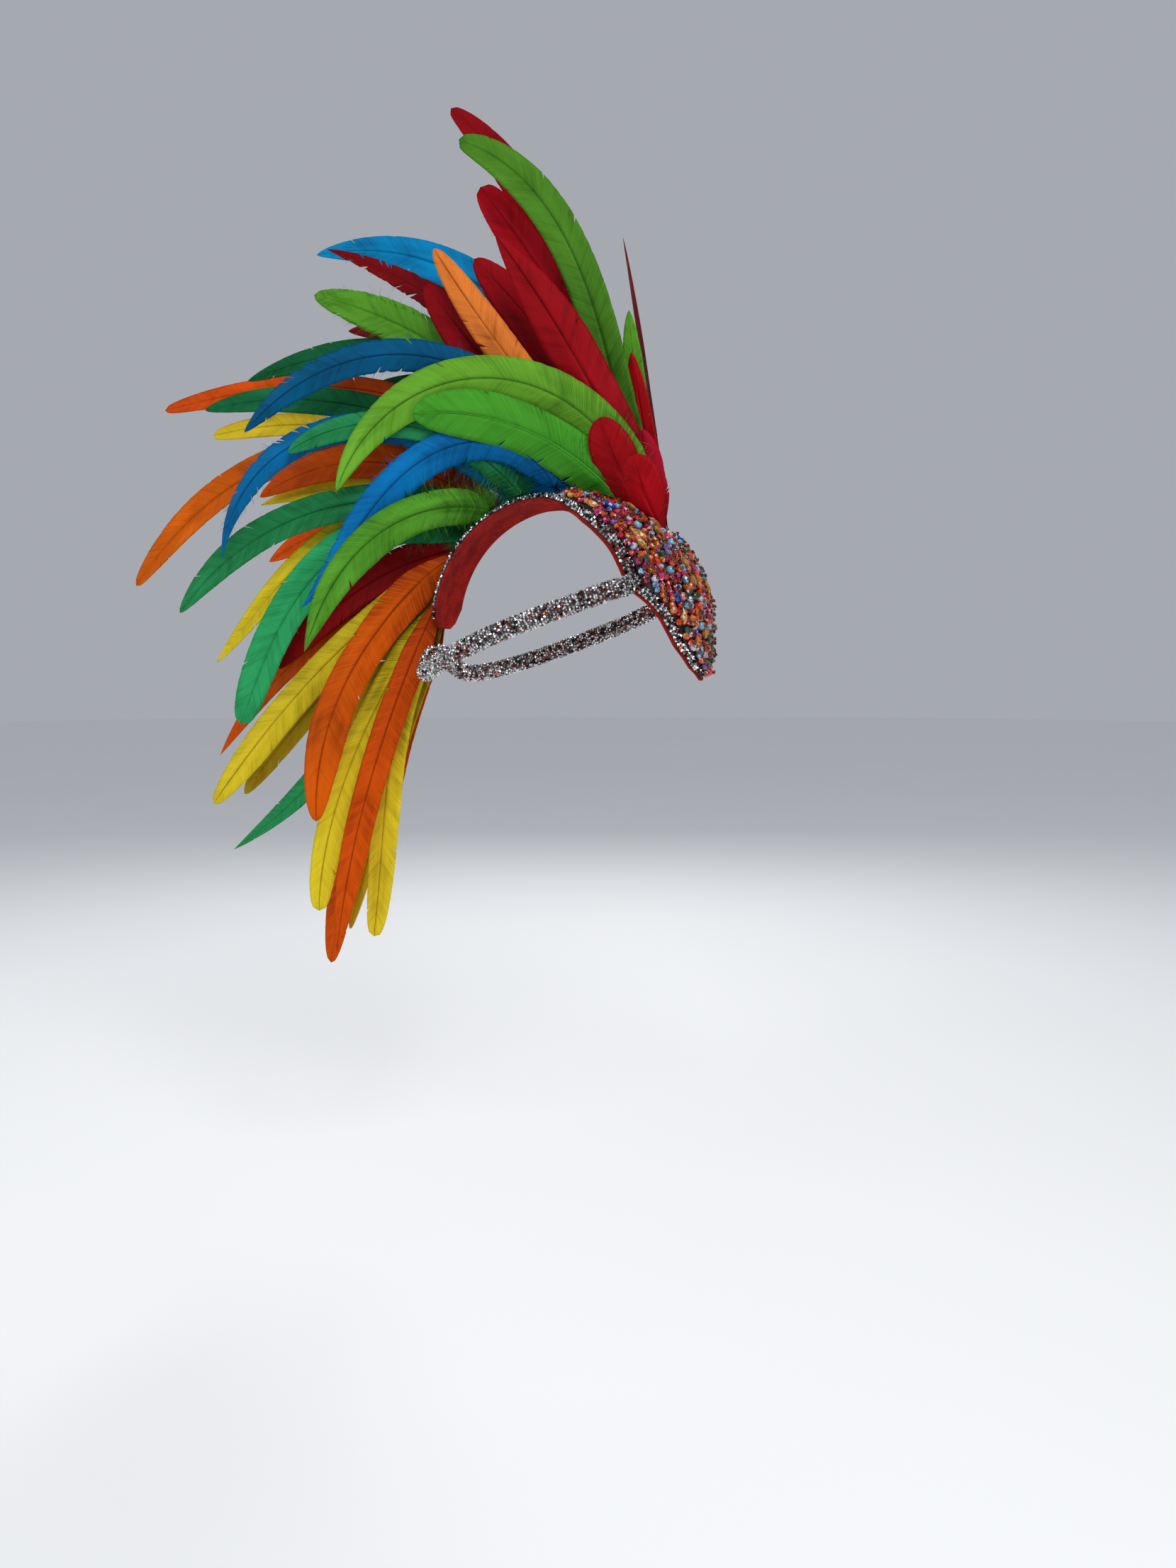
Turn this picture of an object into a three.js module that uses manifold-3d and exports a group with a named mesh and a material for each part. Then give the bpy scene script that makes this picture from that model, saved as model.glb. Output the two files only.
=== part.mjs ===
// Carnival feather headdress: a red felt base that runs from a point between the brows, over the
// crown and down the back of the head, edged with crystal trim, with a field of beads on the
// forehead, a crystal-covered rope round the back of the head and a crest of dyed feathers.
// Millimetres, +Z up. The wearer faces -Y. The origin is the crown of the head, where the base sits.
import * as THREE from 'three';
import { mergeVertices } from 'three/addons/utils/BufferGeometryUtils.js';
import Module from 'manifold-3d';

const wasm = await Module();
wasm.setup();

// Head form: an upright oval with a domed top, which the inside of the base follows.
const HEAD = { centreY: -12, centreZ: -85, halfWidth: 80, front: 100, back: 82, height: 85 };
const DEGREE = Math.PI / 180;
const MM_PER_STATION = HEAD.height * DEGREE;

// Layers of the base, outwards from the head.
const GAP = 0.4;
const FELT = 1.6;
const FELT_GRID = { columns: 8, backFrom: 110, backTo: 170, backStep: 10 };
const TRIM = { width: 9, height: 3, inset: 0.2, frontMargin: 2, backEnd: 176, crown: 0.5, leastAngle: 1 };
const TRIM_GRID = { columns: 2, rows: 36 };
const BEAD_BACKING = { gap: 0.7, thickness: 1.4, frontStation: -16, lobeOverlap: 3, leastAngle: 0.8 };
const BACKING_GRID = { columns: 8, rows: 10, lobeColumns: 3, lobeRows: 8 };
const BEAD = { radius: 3, sides: 9, rings: 4, sunk: 0.9, pitch: 18, margin: 0.5, jitter: 0.5 };
const BEAD_STATIONS = { first: -13, lobeMargin: 6 };
const FEATHER_BED = { halfWidth: 15, frontStation: 40 };
const LOBE_END_STATION = 82;

// Outline of the felt base. station: degrees over the head, from 0 at the forehead through 90 at the
// crown to 180 at the back, and below 0 down the forehead. halfAngle: degrees to each side.
const OUTLINE = [
  { station: -24.5, halfAngle: 2 },
  { station: -19, halfAngle: 15 },
  { station: -10, halfAngle: 26 },
  { station: -1, halfAngle: 32.5 },
  { station: 7, halfAngle: 37.5 },
  { station: 15, halfAngle: 43 },
  { station: 20, halfAngle: 46 },
  { station: 27, halfAngle: 45.5 },
  { station: 36, halfAngle: 44 },
  { station: 46, halfAngle: 41.5 },
  { station: 56, halfAngle: 39 },
  { station: 66, halfAngle: 35.5 },
  { station: 75, halfAngle: 30 },
  { station: 83, halfAngle: 23.5 },
  { station: 91, halfAngle: 17 },
  { station: 100, halfAngle: 15.5 },
  { station: 170, halfAngle: 15 },
  { station: 177, halfAngle: 11 },
  { station: 180, halfAngle: 6 },
];

// Rope round the back of the head. turn: degrees round the head from the brow. height: Z of its centre.
const ROPE = { radius: 6, sides: 10, steps: 36, clearance: 0.5 };
const ROPE_ROUTE = [
  { turn: 50, height: -63 },
  { turn: 60, height: -69 },
  { turn: 75, height: -79 },
  { turn: 92, height: -90 },
  { turn: 110, height: -100 },
  { turn: 128, height: -109 },
  { turn: 145, height: -115 },
  { turn: 158, height: -115 },
  { turn: 168, height: -108 },
  { turn: 180, height: -101 },
];

// Crest. Every feather lies in one of the layers, which stand side by side at the bed and lean apart
// with their height above it, so that no two feathers meet. Layer 8 is the middle of the head.
const LAYER = { middle: 8, pitch: 1.3, lean: 2.3, hangShare: 0.5 };
const LAYER_HEIGHT = 90;
const FEATHER = { rootLift: 1.7, quill: 2, point: 0.8, rachis: 0.95, tipRachis: 0.8, vane: 0.6, cup: 0.07 };
const FEATHER_STATIONS = [0, 0.06, 0.16, 0.3, 0.46, 0.62, 0.77, 0.89, 0.97, 1];
const SHAFT_STEPS = 100;

// Shape of a vane by shares of the feather's length: where it spreads, where it starts to taper for a
// sharp tip, how much later a round tip tapers, and how much fuller a round end is. A short feather
// spreads over the least length in millimetres.
const VANE = { spreadFrom: 0.02, spreadTo: 0.34, taperFrom: 0.5, taperByTip: 0.6, fullnessByTip: 1.6 };
const LEAST_SPREAD = 32;

const DYES = {
  red: 0xa8121b,
  wine: 0x6f0d1a,
  orange: 0xe4610d,
  apricot: 0xee9340,
  yellow: 0xddc21c,
  olive: 0xa88f12,
  lime: 0x62ad28,
  green: 0x0f6b40,
  teal: 0x1f8f5c,
  blue: 0x0f5fae,
};

// Feathers from the brow to the nape, then nine of the far side and one more behind the front ones.
// root: station of the quill on the bed. length and width: mm. rise: degrees at the root from straight up
// towards the back. bend: degrees that it turns on to its tip. sway: degrees that it turns further at its
// middle, and back again by its tip. twist: degrees that the blade is turned about its own length.
// tip: how round its end is, from 0, a point, to 0.42, blunt.
const FEATHER_COLUMNS = ['dye', 'layer', 'root', 'length', 'width', 'rise', 'bend', 'sway', 'twist', 'tip'];
const FEATHER_ROWS = [
  ['red', 1, 40, 56, 29, 31, -20, 0, 0, 0.3],
  ['red', 2, 46, 78, 31, 38, -23, 0, 0, 0.3],
  ['red', 5, 41, 70, 21, 19, -14, 0, 0, 0.2],
  ['red', 13, 42, 214, 14, 9.5, 4, 0, 68, 0.1],
  ['lime', 11, 45, 152, 16, 16, -11, 0, 15, 0.2],
  ['red', 6, 47, 220, 32, 21, 16, 0, 0, 0.1],
  ['lime', 8, 46, 309, 25, 26, 43, -29, 0, 0.4],
  ['red', 12, 45, 362, 24, 23, 26, -11, 0, 0.35],
  ['red', 10, 49, 272, 28, 18, 21, 0, 0, 0.4],
  ['wine', 9, 52, 222, 29, 24, 21, 0, 0, 0.3],
  ['apricot', 7, 55, 232, 23, 43, -10, 0, 0, 0.3],
  ['red', 8, 60, 216, 32, 48, -11, 0, 0, 0.3],
  ['blue', 11, 75, 327, 28, 6, 87, 0, 0, 0.2],
  ['wine', 10, 70, 298, 19, 27, 43, 0, 0, 0.1],
  ['lime', 9, 75, 268, 29, 35, 38, 0, 0, 0.3],
  ['wine', 12, 85, 240, 22, 22, 64, 0, 0, 0.2],
  ['green', 10, 92, 299, 20, 12, 93, 14, 0, 0.2],
  ['blue', 5, 86, 289, 22, 8, 125, 10, 0, 0.2],
  ['orange', 13, 100, 381, 18, 36, 59, 13, 0, 0.38],
  ['green', 8, 98, 280, 20, 49, 50, 0, 0, 0.25],
  ['yellow', 14, 105, 316, 18, 56, 39, 0, 0, 0.4],
  ['blue', 6, 106, 285, 21, 44, 129, -14, 0, 0.1],
  ['orange', 12, 118, 387, 26, 44, 93, 8, 0, 0.35],
  ['orange', 10, 122, 210, 25, 46, 73, 0, 0, 0.2],
  ['yellow', 11, 127, 200, 17, 60, 45, 0, 0, 0.1],
  ['teal', 5, 104, 190, 18, 36, 83, 0, 0, 0.3],
  ['lime', 4, 52, 292, 31, 10, 147, 0, 0, 0.15],
  ['lime', 3, 60, 166, 33, 37, 57, 0, 0, 0.3],
  ['blue', 4, 88, 241, 25, 19, 117, 49, 0, 0.05],
  ['lime', 2, 118, 190, 28, 79, 87, 0, 0, 0.05],
  ['teal', 8, 125, 276, 24, 66, 74, 0, 0, 0.25],
  ['yellow', 10, 132, 267, 19, 51, 82, 28, 0, 0.15],
  ['teal', 9, 135, 269, 30, 59, 99, 22, 0, 0.4],
  ['wine', 11, 140, 190, 26, 95, 44, 0, 0, 0.2],
  ['orange', 12, 150, 274, 19, 103, 37, 0, 0, 0.1],
  ['yellow', 7, 150, 260, 24, 116, 25, 5, 0, 0.35],
  ['olive', 9, 155, 240, 21, 123, 18, 0, 0, 0.3],
  ['orange', 3, 145, 218, 27, 123, 60, 0, 0, 0.3],
  ['olive', 8, 160, 130, 20, 140, 8, 0, 0, 0.2],
  ['teal', 13, 158, 312, 20, 145, -25, 0, 0, 0.05],
  ['yellow', 6, 165, 247, 23, 145, 32, -5, 0, 0.4],
  ['orange', 10, 168, 292, 25, 147, 23, 0, 0, 0.35],
  ['orange', 4, 163, 264, 21, 155, 19, 0, 0, 0.2],
  ['yellow', 7, 172, 242, 22, 145, 26, 14, 0, 0.42],
  ['yellow', 11, 175, 252, 15, 154, 9, 0, 0, 0.3],
  ['red', 14, 50, 170, 28, 34, 8, 0, 0, 0.2],
  ['lime', 15, 72, 210, 32, 30, 35, 0, 0, 0.2],
  ['blue', 15, 98, 220, 28, 50, 60, 0, 0, 0.2],
  ['orange', 15, 118, 230, 26, 75, 40, 0, 0, 0.2],
  ['lime', 15, 138, 200, 30, 100, 45, 0, 0, 0.2],
  ['yellow', 14, 150, 210, 24, 115, 35, 0, 0, 0.2],
  ['orange', 14, 165, 230, 24, 150, 15, 0, 0, 0.2],
  ['green', 14, 76, 230, 26, 35, 60, 0, 0, 0.2],
  ['blue', 14, 124, 210, 26, 70, 75, 0, 0, 0.2],
  ['red', 9, 43, 122, 15, 14, -5, 0, 0, 0.2],
];

// Smooth step from 0 at low to 1 at high.
function ease(low, high, value) {
  const t = Math.min(1, Math.max(0, (value - low) / (high - low)));
  return t * t * (3 - 2 * t);
}

// A repeatable number from 0 to 1 for each index.
function scatter(index) {
  const wave = Math.sin(index * 12.9898 + 4.137) * 43758.5453;
  return wave - Math.floor(wave);
}

// A point on the head form: station and side angle in degrees, lifted outwards by height.
function headPoint(station, sideAngle, height) {
  const reach = station < 90 ? HEAD.front : HEAD.back;
  const onDome = Math.min(180, Math.max(0, station));
  const below = station < 0 ? -station : Math.max(0, station - 180);
  const side = sideAngle * DEGREE;
  const turn = onDome * DEGREE;
  return new THREE.Vector3(
    (HEAD.halfWidth + height) * Math.sin(side),
    HEAD.centreY - (reach + height) * Math.cos(side) * Math.cos(turn),
    HEAD.centreZ + (HEAD.height + height) * Math.cos(side) * Math.sin(turn) - below * MM_PER_STATION,
  );
}

// Half of the felt's width in degrees at a station, by straight steps through the outline's rows.
function halfAngle(station) {
  const next = OUTLINE.findIndex((row) => row.station >= station);
  if (next <= 0) return OUTLINE.at(next === 0 ? 0 : -1).halfAngle;
  const [a, b] = [OUTLINE[next - 1], OUTLINE[next]];
  return THREE.MathUtils.mapLinear(station, a.station, b.station, a.halfAngle, b.halfAngle);
}

// The side angle that lies a distance in from the felt's edge.
function insideEdge(station, inset) {
  const edge = HEAD.halfWidth * Math.sin(halfAngle(station) * DEGREE);
  return Math.asin(Math.max(0, edge - inset) / HEAD.halfWidth) / DEGREE;
}

// A closed block whose corners are mapped from the unit cube by place(across, along, up).
function mappedBlock(across, along, up, place) {
  const block = new THREE.BoxGeometry(1, 1, 1, across, along, up);
  block.deleteAttribute('normal');
  block.deleteAttribute('uv');
  const spots = block.getAttribute('position');
  for (let i = 0; i < spots.count; i += 1) {
    const spot = place(spots.getX(i) + 0.5, spots.getY(i) + 0.5, spots.getZ(i) + 0.5);
    spots.setXYZ(i, spot.x, spot.y, spot.z);
  }
  return facingOut(mergeVertices(block, 1e-4));
}

// Turns a closed geometry's faces outwards if its map mirrored them.
function facingOut(geometry) {
  const { array } = geometry.index;
  const corner = [0, 1, 2].map(() => new THREE.Vector3());
  let volume = 0;
  for (let i = 0; i < array.length; i += 3) {
    corner.forEach((p, k) => p.fromBufferAttribute(geometry.attributes.position, array[i + k]));
    volume += corner[0].dot(corner[1].clone().cross(corner[2]));
  }
  if (volume < 0) {
    for (let i = 0; i < array.length; i += 3) [array[i], array[i + 1]] = [array[i + 1], array[i]];
  }
  return geometry;
}

// A closed geometry as a solid that can be joined, and back again.
function toSolid(geometry) {
  const bare = new THREE.BufferGeometry();
  bare.setAttribute('position', geometry.getAttribute('position'));
  bare.setIndex(geometry.index);
  const merged = mergeVertices(bare, 1e-4);
  const vertProperties = new Float32Array(merged.attributes.position.array);
  const triVerts = new Uint32Array(merged.index.array);
  return new wasm.Manifold(new wasm.Mesh({ numProp: 3, vertProperties, triVerts }));
}

function toGeometry(solid) {
  const { vertProperties, triVerts } = solid.getMesh();
  const geometry = new THREE.BufferGeometry();
  geometry.setAttribute('position', new THREE.BufferAttribute(new Float32Array(vertProperties), 3));
  geometry.setIndex(new THREE.BufferAttribute(new Uint32Array(triVerts), 1));
  return geometry;
}

// Pieces of the base

function feltBase() {
  const stations = OUTLINE.map((row) => row.station);
  const { columns, backFrom, backTo, backStep } = FELT_GRID;
  for (let station = backFrom; station < backTo; station += backStep) stations.push(station);
  stations.sort((a, b) => a - b);
  const rows = stations.length - 1;
  return mappedBlock(columns, rows, 1, (across, along, up) => {
    const station = stations[Math.round(along * rows)];
    return headPoint(station, (2 * across - 1) * halfAngle(station), up * FELT);
  });
}

function edgeTrim(hand) {
  const first = OUTLINE[0].station + TRIM.frontMargin;
  return mappedBlock(TRIM_GRID.columns, TRIM_GRID.rows, 1, (across, along, up) => {
    const station = first + (TRIM.backEnd - first) * along;
    const edge = insideEdge(station, TRIM.inset);
    const middleGap = GAP / HEAD.halfWidth / DEGREE;
    const inner = Math.max(middleGap, insideEdge(station, TRIM.inset + TRIM.width));
    const outer = Math.max(edge, inner + TRIM.leastAngle);
    const crown = 1 - TRIM.crown * Math.abs(2 * across - 1);
    const height = FELT + GAP + up * TRIM.height * crown;
    return headPoint(station, hand * THREE.MathUtils.lerp(inner, outer, across), height);
  });
}

// Side angles between which beads may lie at a station: inside the trim, and clear of the feather bed.
function beadSpan(station) {
  const outer = insideEdge(station, TRIM.inset + TRIM.width + 2 * GAP);
  const bed = station > FEATHER_BED.frontStation ? FEATHER_BED.halfWidth : 0;
  return { inner: Math.asin(bed / HEAD.halfWidth) / DEGREE, outer };
}

function beadBacking(from, to, columns, rows, place) {
  const low = FELT + BEAD_BACKING.gap;
  return toSolid(mappedBlock(columns, rows, 1, (across, along, up) => {
    const station = from + (to - from) * along;
    return headPoint(station, place(beadSpan(station), across), low + up * BEAD_BACKING.thickness);
  }));
}

function beadPanel() {
  const { frontStation, lobeOverlap, leastAngle } = BEAD_BACKING;
  const { columns, rows, lobeColumns, lobeRows } = BACKING_GRID;
  const bedFront = FEATHER_BED.frontStation;
  const inner = Math.asin(FEATHER_BED.halfWidth / HEAD.halfWidth) / DEGREE;
  const forehead = (span, across) => (2 * across - 1) * span.outer;
  let panel = beadBacking(frontStation, bedFront, columns, rows, forehead);
  for (const hand of [-1, 1]) {
    const lobe = (span, across) => {
      const outer = Math.max(span.outer, inner + leastAngle);
      return hand * THREE.MathUtils.lerp(inner, outer, across);
    };
    panel = panel.add(beadBacking(bedFront - lobeOverlap, LOBE_END_STATION, lobeColumns, lobeRows, lobe));
  }
  const bead = new THREE.SphereGeometry(BEAD.radius, BEAD.sides, BEAD.rings);
  bead.deleteAttribute('normal');
  bead.deleteAttribute('uv');
  const solid = toSolid(mergeVertices(bead, 1e-4));
  for (const spot of beadSpots()) panel = panel.add(solid.translate(spot.toArray()));
  return toGeometry(panel);
}

// Centres of the main beads: rows a pitch apart up the forehead, each spread over its span.
function beadSpots() {
  const height = FELT + BEAD_BACKING.gap + BEAD_BACKING.thickness + BEAD.radius - BEAD.sunk;
  const margin = (BEAD.radius + BEAD.margin) / HEAD.halfWidth / DEGREE;
  const rowStep = BEAD.pitch / MM_PER_STATION;
  const last = LOBE_END_STATION - BEAD_STATIONS.lobeMargin;
  const spots = [];
  for (let station = BEAD_STATIONS.first; station < last; station += rowStep) {
    const { inner, outer } = beadSpan(station);
    const low = inner > 0 ? inner + margin : -(outer - margin);
    const room = outer - margin - low;
    const count = Math.max(1, Math.round((room * DEGREE * HEAD.halfWidth) / BEAD.pitch));
    for (let i = 0; i < count; i += 1) {
      const jitter = (scatter(spots.length) - 0.5) * BEAD.jitter;
      const side = low + ((i + 0.5 + jitter) / count) * room;
      for (const hand of inner > 0 ? [-1, 1] : [1]) spots.push(headPoint(station, hand * side, height));
    }
  }
  return spots;
}

function headRope() {
  const points = [];
  const reach = ROPE.radius + ROPE.clearance;
  for (const hand of [-1, 1]) {
    const side = ROPE_ROUTE.map(({ turn, height }) => {
      const length = turn < 90 ? HEAD.front : HEAD.back;
      return new THREE.Vector3(
        hand * (HEAD.halfWidth + reach) * Math.sin(turn * DEGREE),
        HEAD.centreY - (length + reach) * Math.cos(turn * DEGREE),
        height,
      );
    });
    points.push(...(hand < 0 ? side.slice(0, -1) : side.reverse()));
  }
  const section = new THREE.Shape();
  for (let i = 0; i < ROPE.sides; i += 1) {
    const turn = (i / ROPE.sides) * 2 * Math.PI;
    section[i ? 'lineTo' : 'moveTo'](ROPE.radius * Math.cos(turn), ROPE.radius * Math.sin(turn));
  }
  const extrudePath = new THREE.CatmullRomCurve3(points);
  const along = { steps: ROPE.steps, bevelEnabled: false, extrudePath };
  const rope = new THREE.ExtrudeGeometry(section, along);
  rope.deleteAttribute('normal');
  rope.deleteAttribute('uv');
  return facingOut(mergeVertices(rope, 1e-4));
}

// Feathers

// Height of a point of the crest above the bed, which sets how far its layer leans out.
function crestHeight(y, z) {
  const reach = y < HEAD.centreY ? HEAD.front : HEAD.back;
  const along = (y - HEAD.centreY) / reach;
  const up = (z - HEAD.centreZ) / HEAD.height;
  const radius = up > 0 ? Math.hypot(along, up) : Math.abs(along);
  const hang = Math.max(0, HEAD.centreZ - z) * LAYER.hangShare;
  return Math.max(0, (radius - 1) * LAYER_HEIGHT) + hang;
}

// Half of a feather's width at a share of its length: a bare quill, a spreading vane and a rounded end.
function halfWidth(share, { length, width, tip }) {
  const spread = ease(VANE.spreadFrom, Math.max(VANE.spreadTo, LEAST_SPREAD / length), share);
  const taper = VANE.taperFrom + VANE.taperByTip * tip;
  const past = Math.max(0, (share - taper) / (1 - taper));
  const end = (1 - past * past) ** (1 - VANE.fullnessByTip * tip);
  const least = share < VANE.taperFrom ? FEATHER.quill / 2 : FEATHER.point / 2;
  return Math.max(least, (width / 2) * spread * end);
}

// Points along a feather's shaft in the side view, with the direction at each.
function shaftLine({ root, length, rise, bend, sway }) {
  const foot = headPoint(root, 0, FELT + FEATHER.rootLift);
  const turnAt = (share) => (rise + bend * share + sway * 4 * share * (1 - share)) * DEGREE;
  const step = length / SHAFT_STEPS;
  const line = [{ y: foot.y, z: foot.z, turn: turnAt(0) }];
  for (let i = 1; i <= SHAFT_STEPS; i += 1) {
    const middle = turnAt((i - 0.5) / SHAFT_STEPS);
    const y = line.at(-1).y + Math.sin(middle) * step;
    const z = line.at(-1).z + Math.cos(middle) * step;
    line.push({ y, z, turn: turnAt(i / SHAFT_STEPS) });
  }
  return (share) => line[Math.round(share * SHAFT_STEPS)];
}

function feather(row) {
  const shaft = shaftLine(row);
  const rows = FEATHER_STATIONS.length - 1;
  const offset = row.layer - LAYER.middle;
  const outward = offset < 0 ? -1 : 1;
  return mappedBlock(2, rows, 1, (across, along, up) => {
    const share = FEATHER_STATIONS[Math.round(along * rows)];
    const { y, z, turn } = shaft(share);
    const half = halfWidth(share, row);
    const v = (2 * across - 1) * half;
    const onRachis = 1 - Math.abs(2 * across - 1);
    const rachis = THREE.MathUtils.lerp(FEATHER.rachis, FEATHER.tipRachis, share);
    const thick = THREE.MathUtils.lerp(FEATHER.vane, rachis, onRachis);
    const flat = v * Math.cos(row.twist * DEGREE);
    const y2 = y + flat * Math.cos(turn);
    const z2 = z - flat * Math.sin(turn);
    const lean = Math.tan(offset * LAYER.lean * DEGREE) * crestHeight(y2, z2);
    const cup = outward * FEATHER.cup * half * onRachis;
    const x = offset * LAYER.pitch + lean + cup + (up - 0.5) * thick + v * Math.sin(row.twist * DEGREE);
    return new THREE.Vector3(x, y2, z2);
  });
}

// Assembly

function finish(color, roughness, metalness) {
  return new THREE.MeshStandardMaterial({ color, roughness, metalness });
}

const crystal = finish(0x9a9aa0, 0.25, 0.7);
const dyed = Object.fromEntries(Object.entries(DYES).map(([dye, color]) => [dye, finish(color, 0.6, 0)]));

const headdress = new THREE.Group();

function addPiece(name, geometry, material) {
  const piece = new THREE.Mesh(geometry, material);
  piece.name = name;
  headdress.add(piece);
}

addPiece('felt_base', feltBase(), finish(0x8f1f1c, 0.85, 0));
addPiece('edge_trim_right', edgeTrim(-1), crystal);
addPiece('edge_trim_left', edgeTrim(1), crystal);
addPiece('bead_panel', beadPanel(), finish(0xc4502a, 0.2, 0));
addPiece('head_rope', headRope(), crystal);

FEATHER_ROWS.forEach((cells, i) => {
  const row = Object.fromEntries(FEATHER_COLUMNS.map((column, k) => [column, cells[k]]));
  const number = String(i + 1).padStart(2, '0');
  addPiece(`feather_${number}_${row.dye}`, feather(row), dyed[row.dye]);
});

export default headdress;
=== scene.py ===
"""Looks of a carnival feather headdress: felt, crystal trim, sewn beads, a crystal rope and dyed feathers.

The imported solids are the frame. Lengths in the tables are millimetres and angles are degrees, and every mesh
is scaled to metres as it is made.
"""
import math

import bmesh
import bpy
import numpy as np
from bpy.props import FloatProperty, FloatVectorProperty, IntProperty, PointerProperty
from mathutils import Matrix, Vector


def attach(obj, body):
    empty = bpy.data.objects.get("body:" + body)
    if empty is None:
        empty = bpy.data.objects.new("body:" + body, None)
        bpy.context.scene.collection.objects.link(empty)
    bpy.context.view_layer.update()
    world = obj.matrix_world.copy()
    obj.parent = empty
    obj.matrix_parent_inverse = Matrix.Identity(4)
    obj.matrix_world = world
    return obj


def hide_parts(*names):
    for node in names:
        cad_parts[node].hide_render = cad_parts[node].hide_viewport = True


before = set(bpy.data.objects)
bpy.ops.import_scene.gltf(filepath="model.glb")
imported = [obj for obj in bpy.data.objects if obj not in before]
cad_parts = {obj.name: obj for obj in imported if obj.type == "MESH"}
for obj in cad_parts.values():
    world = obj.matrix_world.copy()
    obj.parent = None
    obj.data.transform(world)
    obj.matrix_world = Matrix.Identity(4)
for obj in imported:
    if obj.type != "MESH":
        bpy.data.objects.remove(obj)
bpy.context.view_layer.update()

bl_info = {
    "name": "Feather Headdress",
    "version": (1, 0, 0),
    "blender": (4, 5, 0),
    "location": "View3D > Sidebar > Headdress",
    "description": "Dresses the headdress with felt, crystal, beads and feathers",
    "category": "Object",
}

MM = 0.001
BODY = "root"

# Head form that the inside of the base follows.
HEAD = {"centre_y": -12, "centre_z": -85, "half_width": 80, "front": 100, "back": 82, "height": 85}
MM_PER_STATION = math.radians(HEAD["height"])

# Layers of the base, outwards from the head. The trim is given as its solid and as the dome that is seen.
FELT = 1.6
FELT_RIM = 1.0
GAP = 0.4
TRIM = {"width": 9, "inset": 0.2, "back_end": 176}
TRIM_DOME = {"width": 8.6, "lanes": 4, "edge": 0.2, "rise": 1.3, "wall": 0.5, "seat": 0.35}
TRIM_LEAST_ANGLES = {"inner": 0.3, "width": 1}
SIDE_RADIUS = 86
BACKING = {"gap": 0.7, "thickness": 1.4, "first": -20, "least_angle": 0.8}
ROUND_BEAD = {"radius": 3, "sunk": 0.9, "pitch": 18, "margin": 0.5, "jitter": 0.5, "first": -13, "last": 76}
BED = {"half_width": 15, "front_station": 40}
LOBE_END_STATION = 82

# Felt outline: station over the head from the brow (0) to the back (180), half angle to each side.
OUTLINE_STATIONS = (-24.5, -19, -10, -1, 7, 15, 20, 27, 36, 46, 56, 66, 75, 83, 91, 100, 170, 177, 180)
OUTLINE_ANGLES = (2, 15, 26, 32.5, 37.5, 43, 46, 45.5, 44, 41.5, 39, 35.5, 30, 23.5, 17, 15.5, 15, 11, 6)
TRIM_FIRST = OUTLINE_STATIONS[0] + 2

# Rope round the back of the head: turn round the head from the brow, height of its centre. Its ends reach a
# little further than those of the solid, to the trim.
ROPE = {"radius": 6, "clearance": 0.5, "step": 2.0}
ROPE_TURNS = (48.8, 60, 75, 92, 110, 128, 145, 158, 168, 180)
ROPE_HEIGHTS = (-63, -69, -79, -90, -100, -109, -115, -115, -108, -101)

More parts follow.
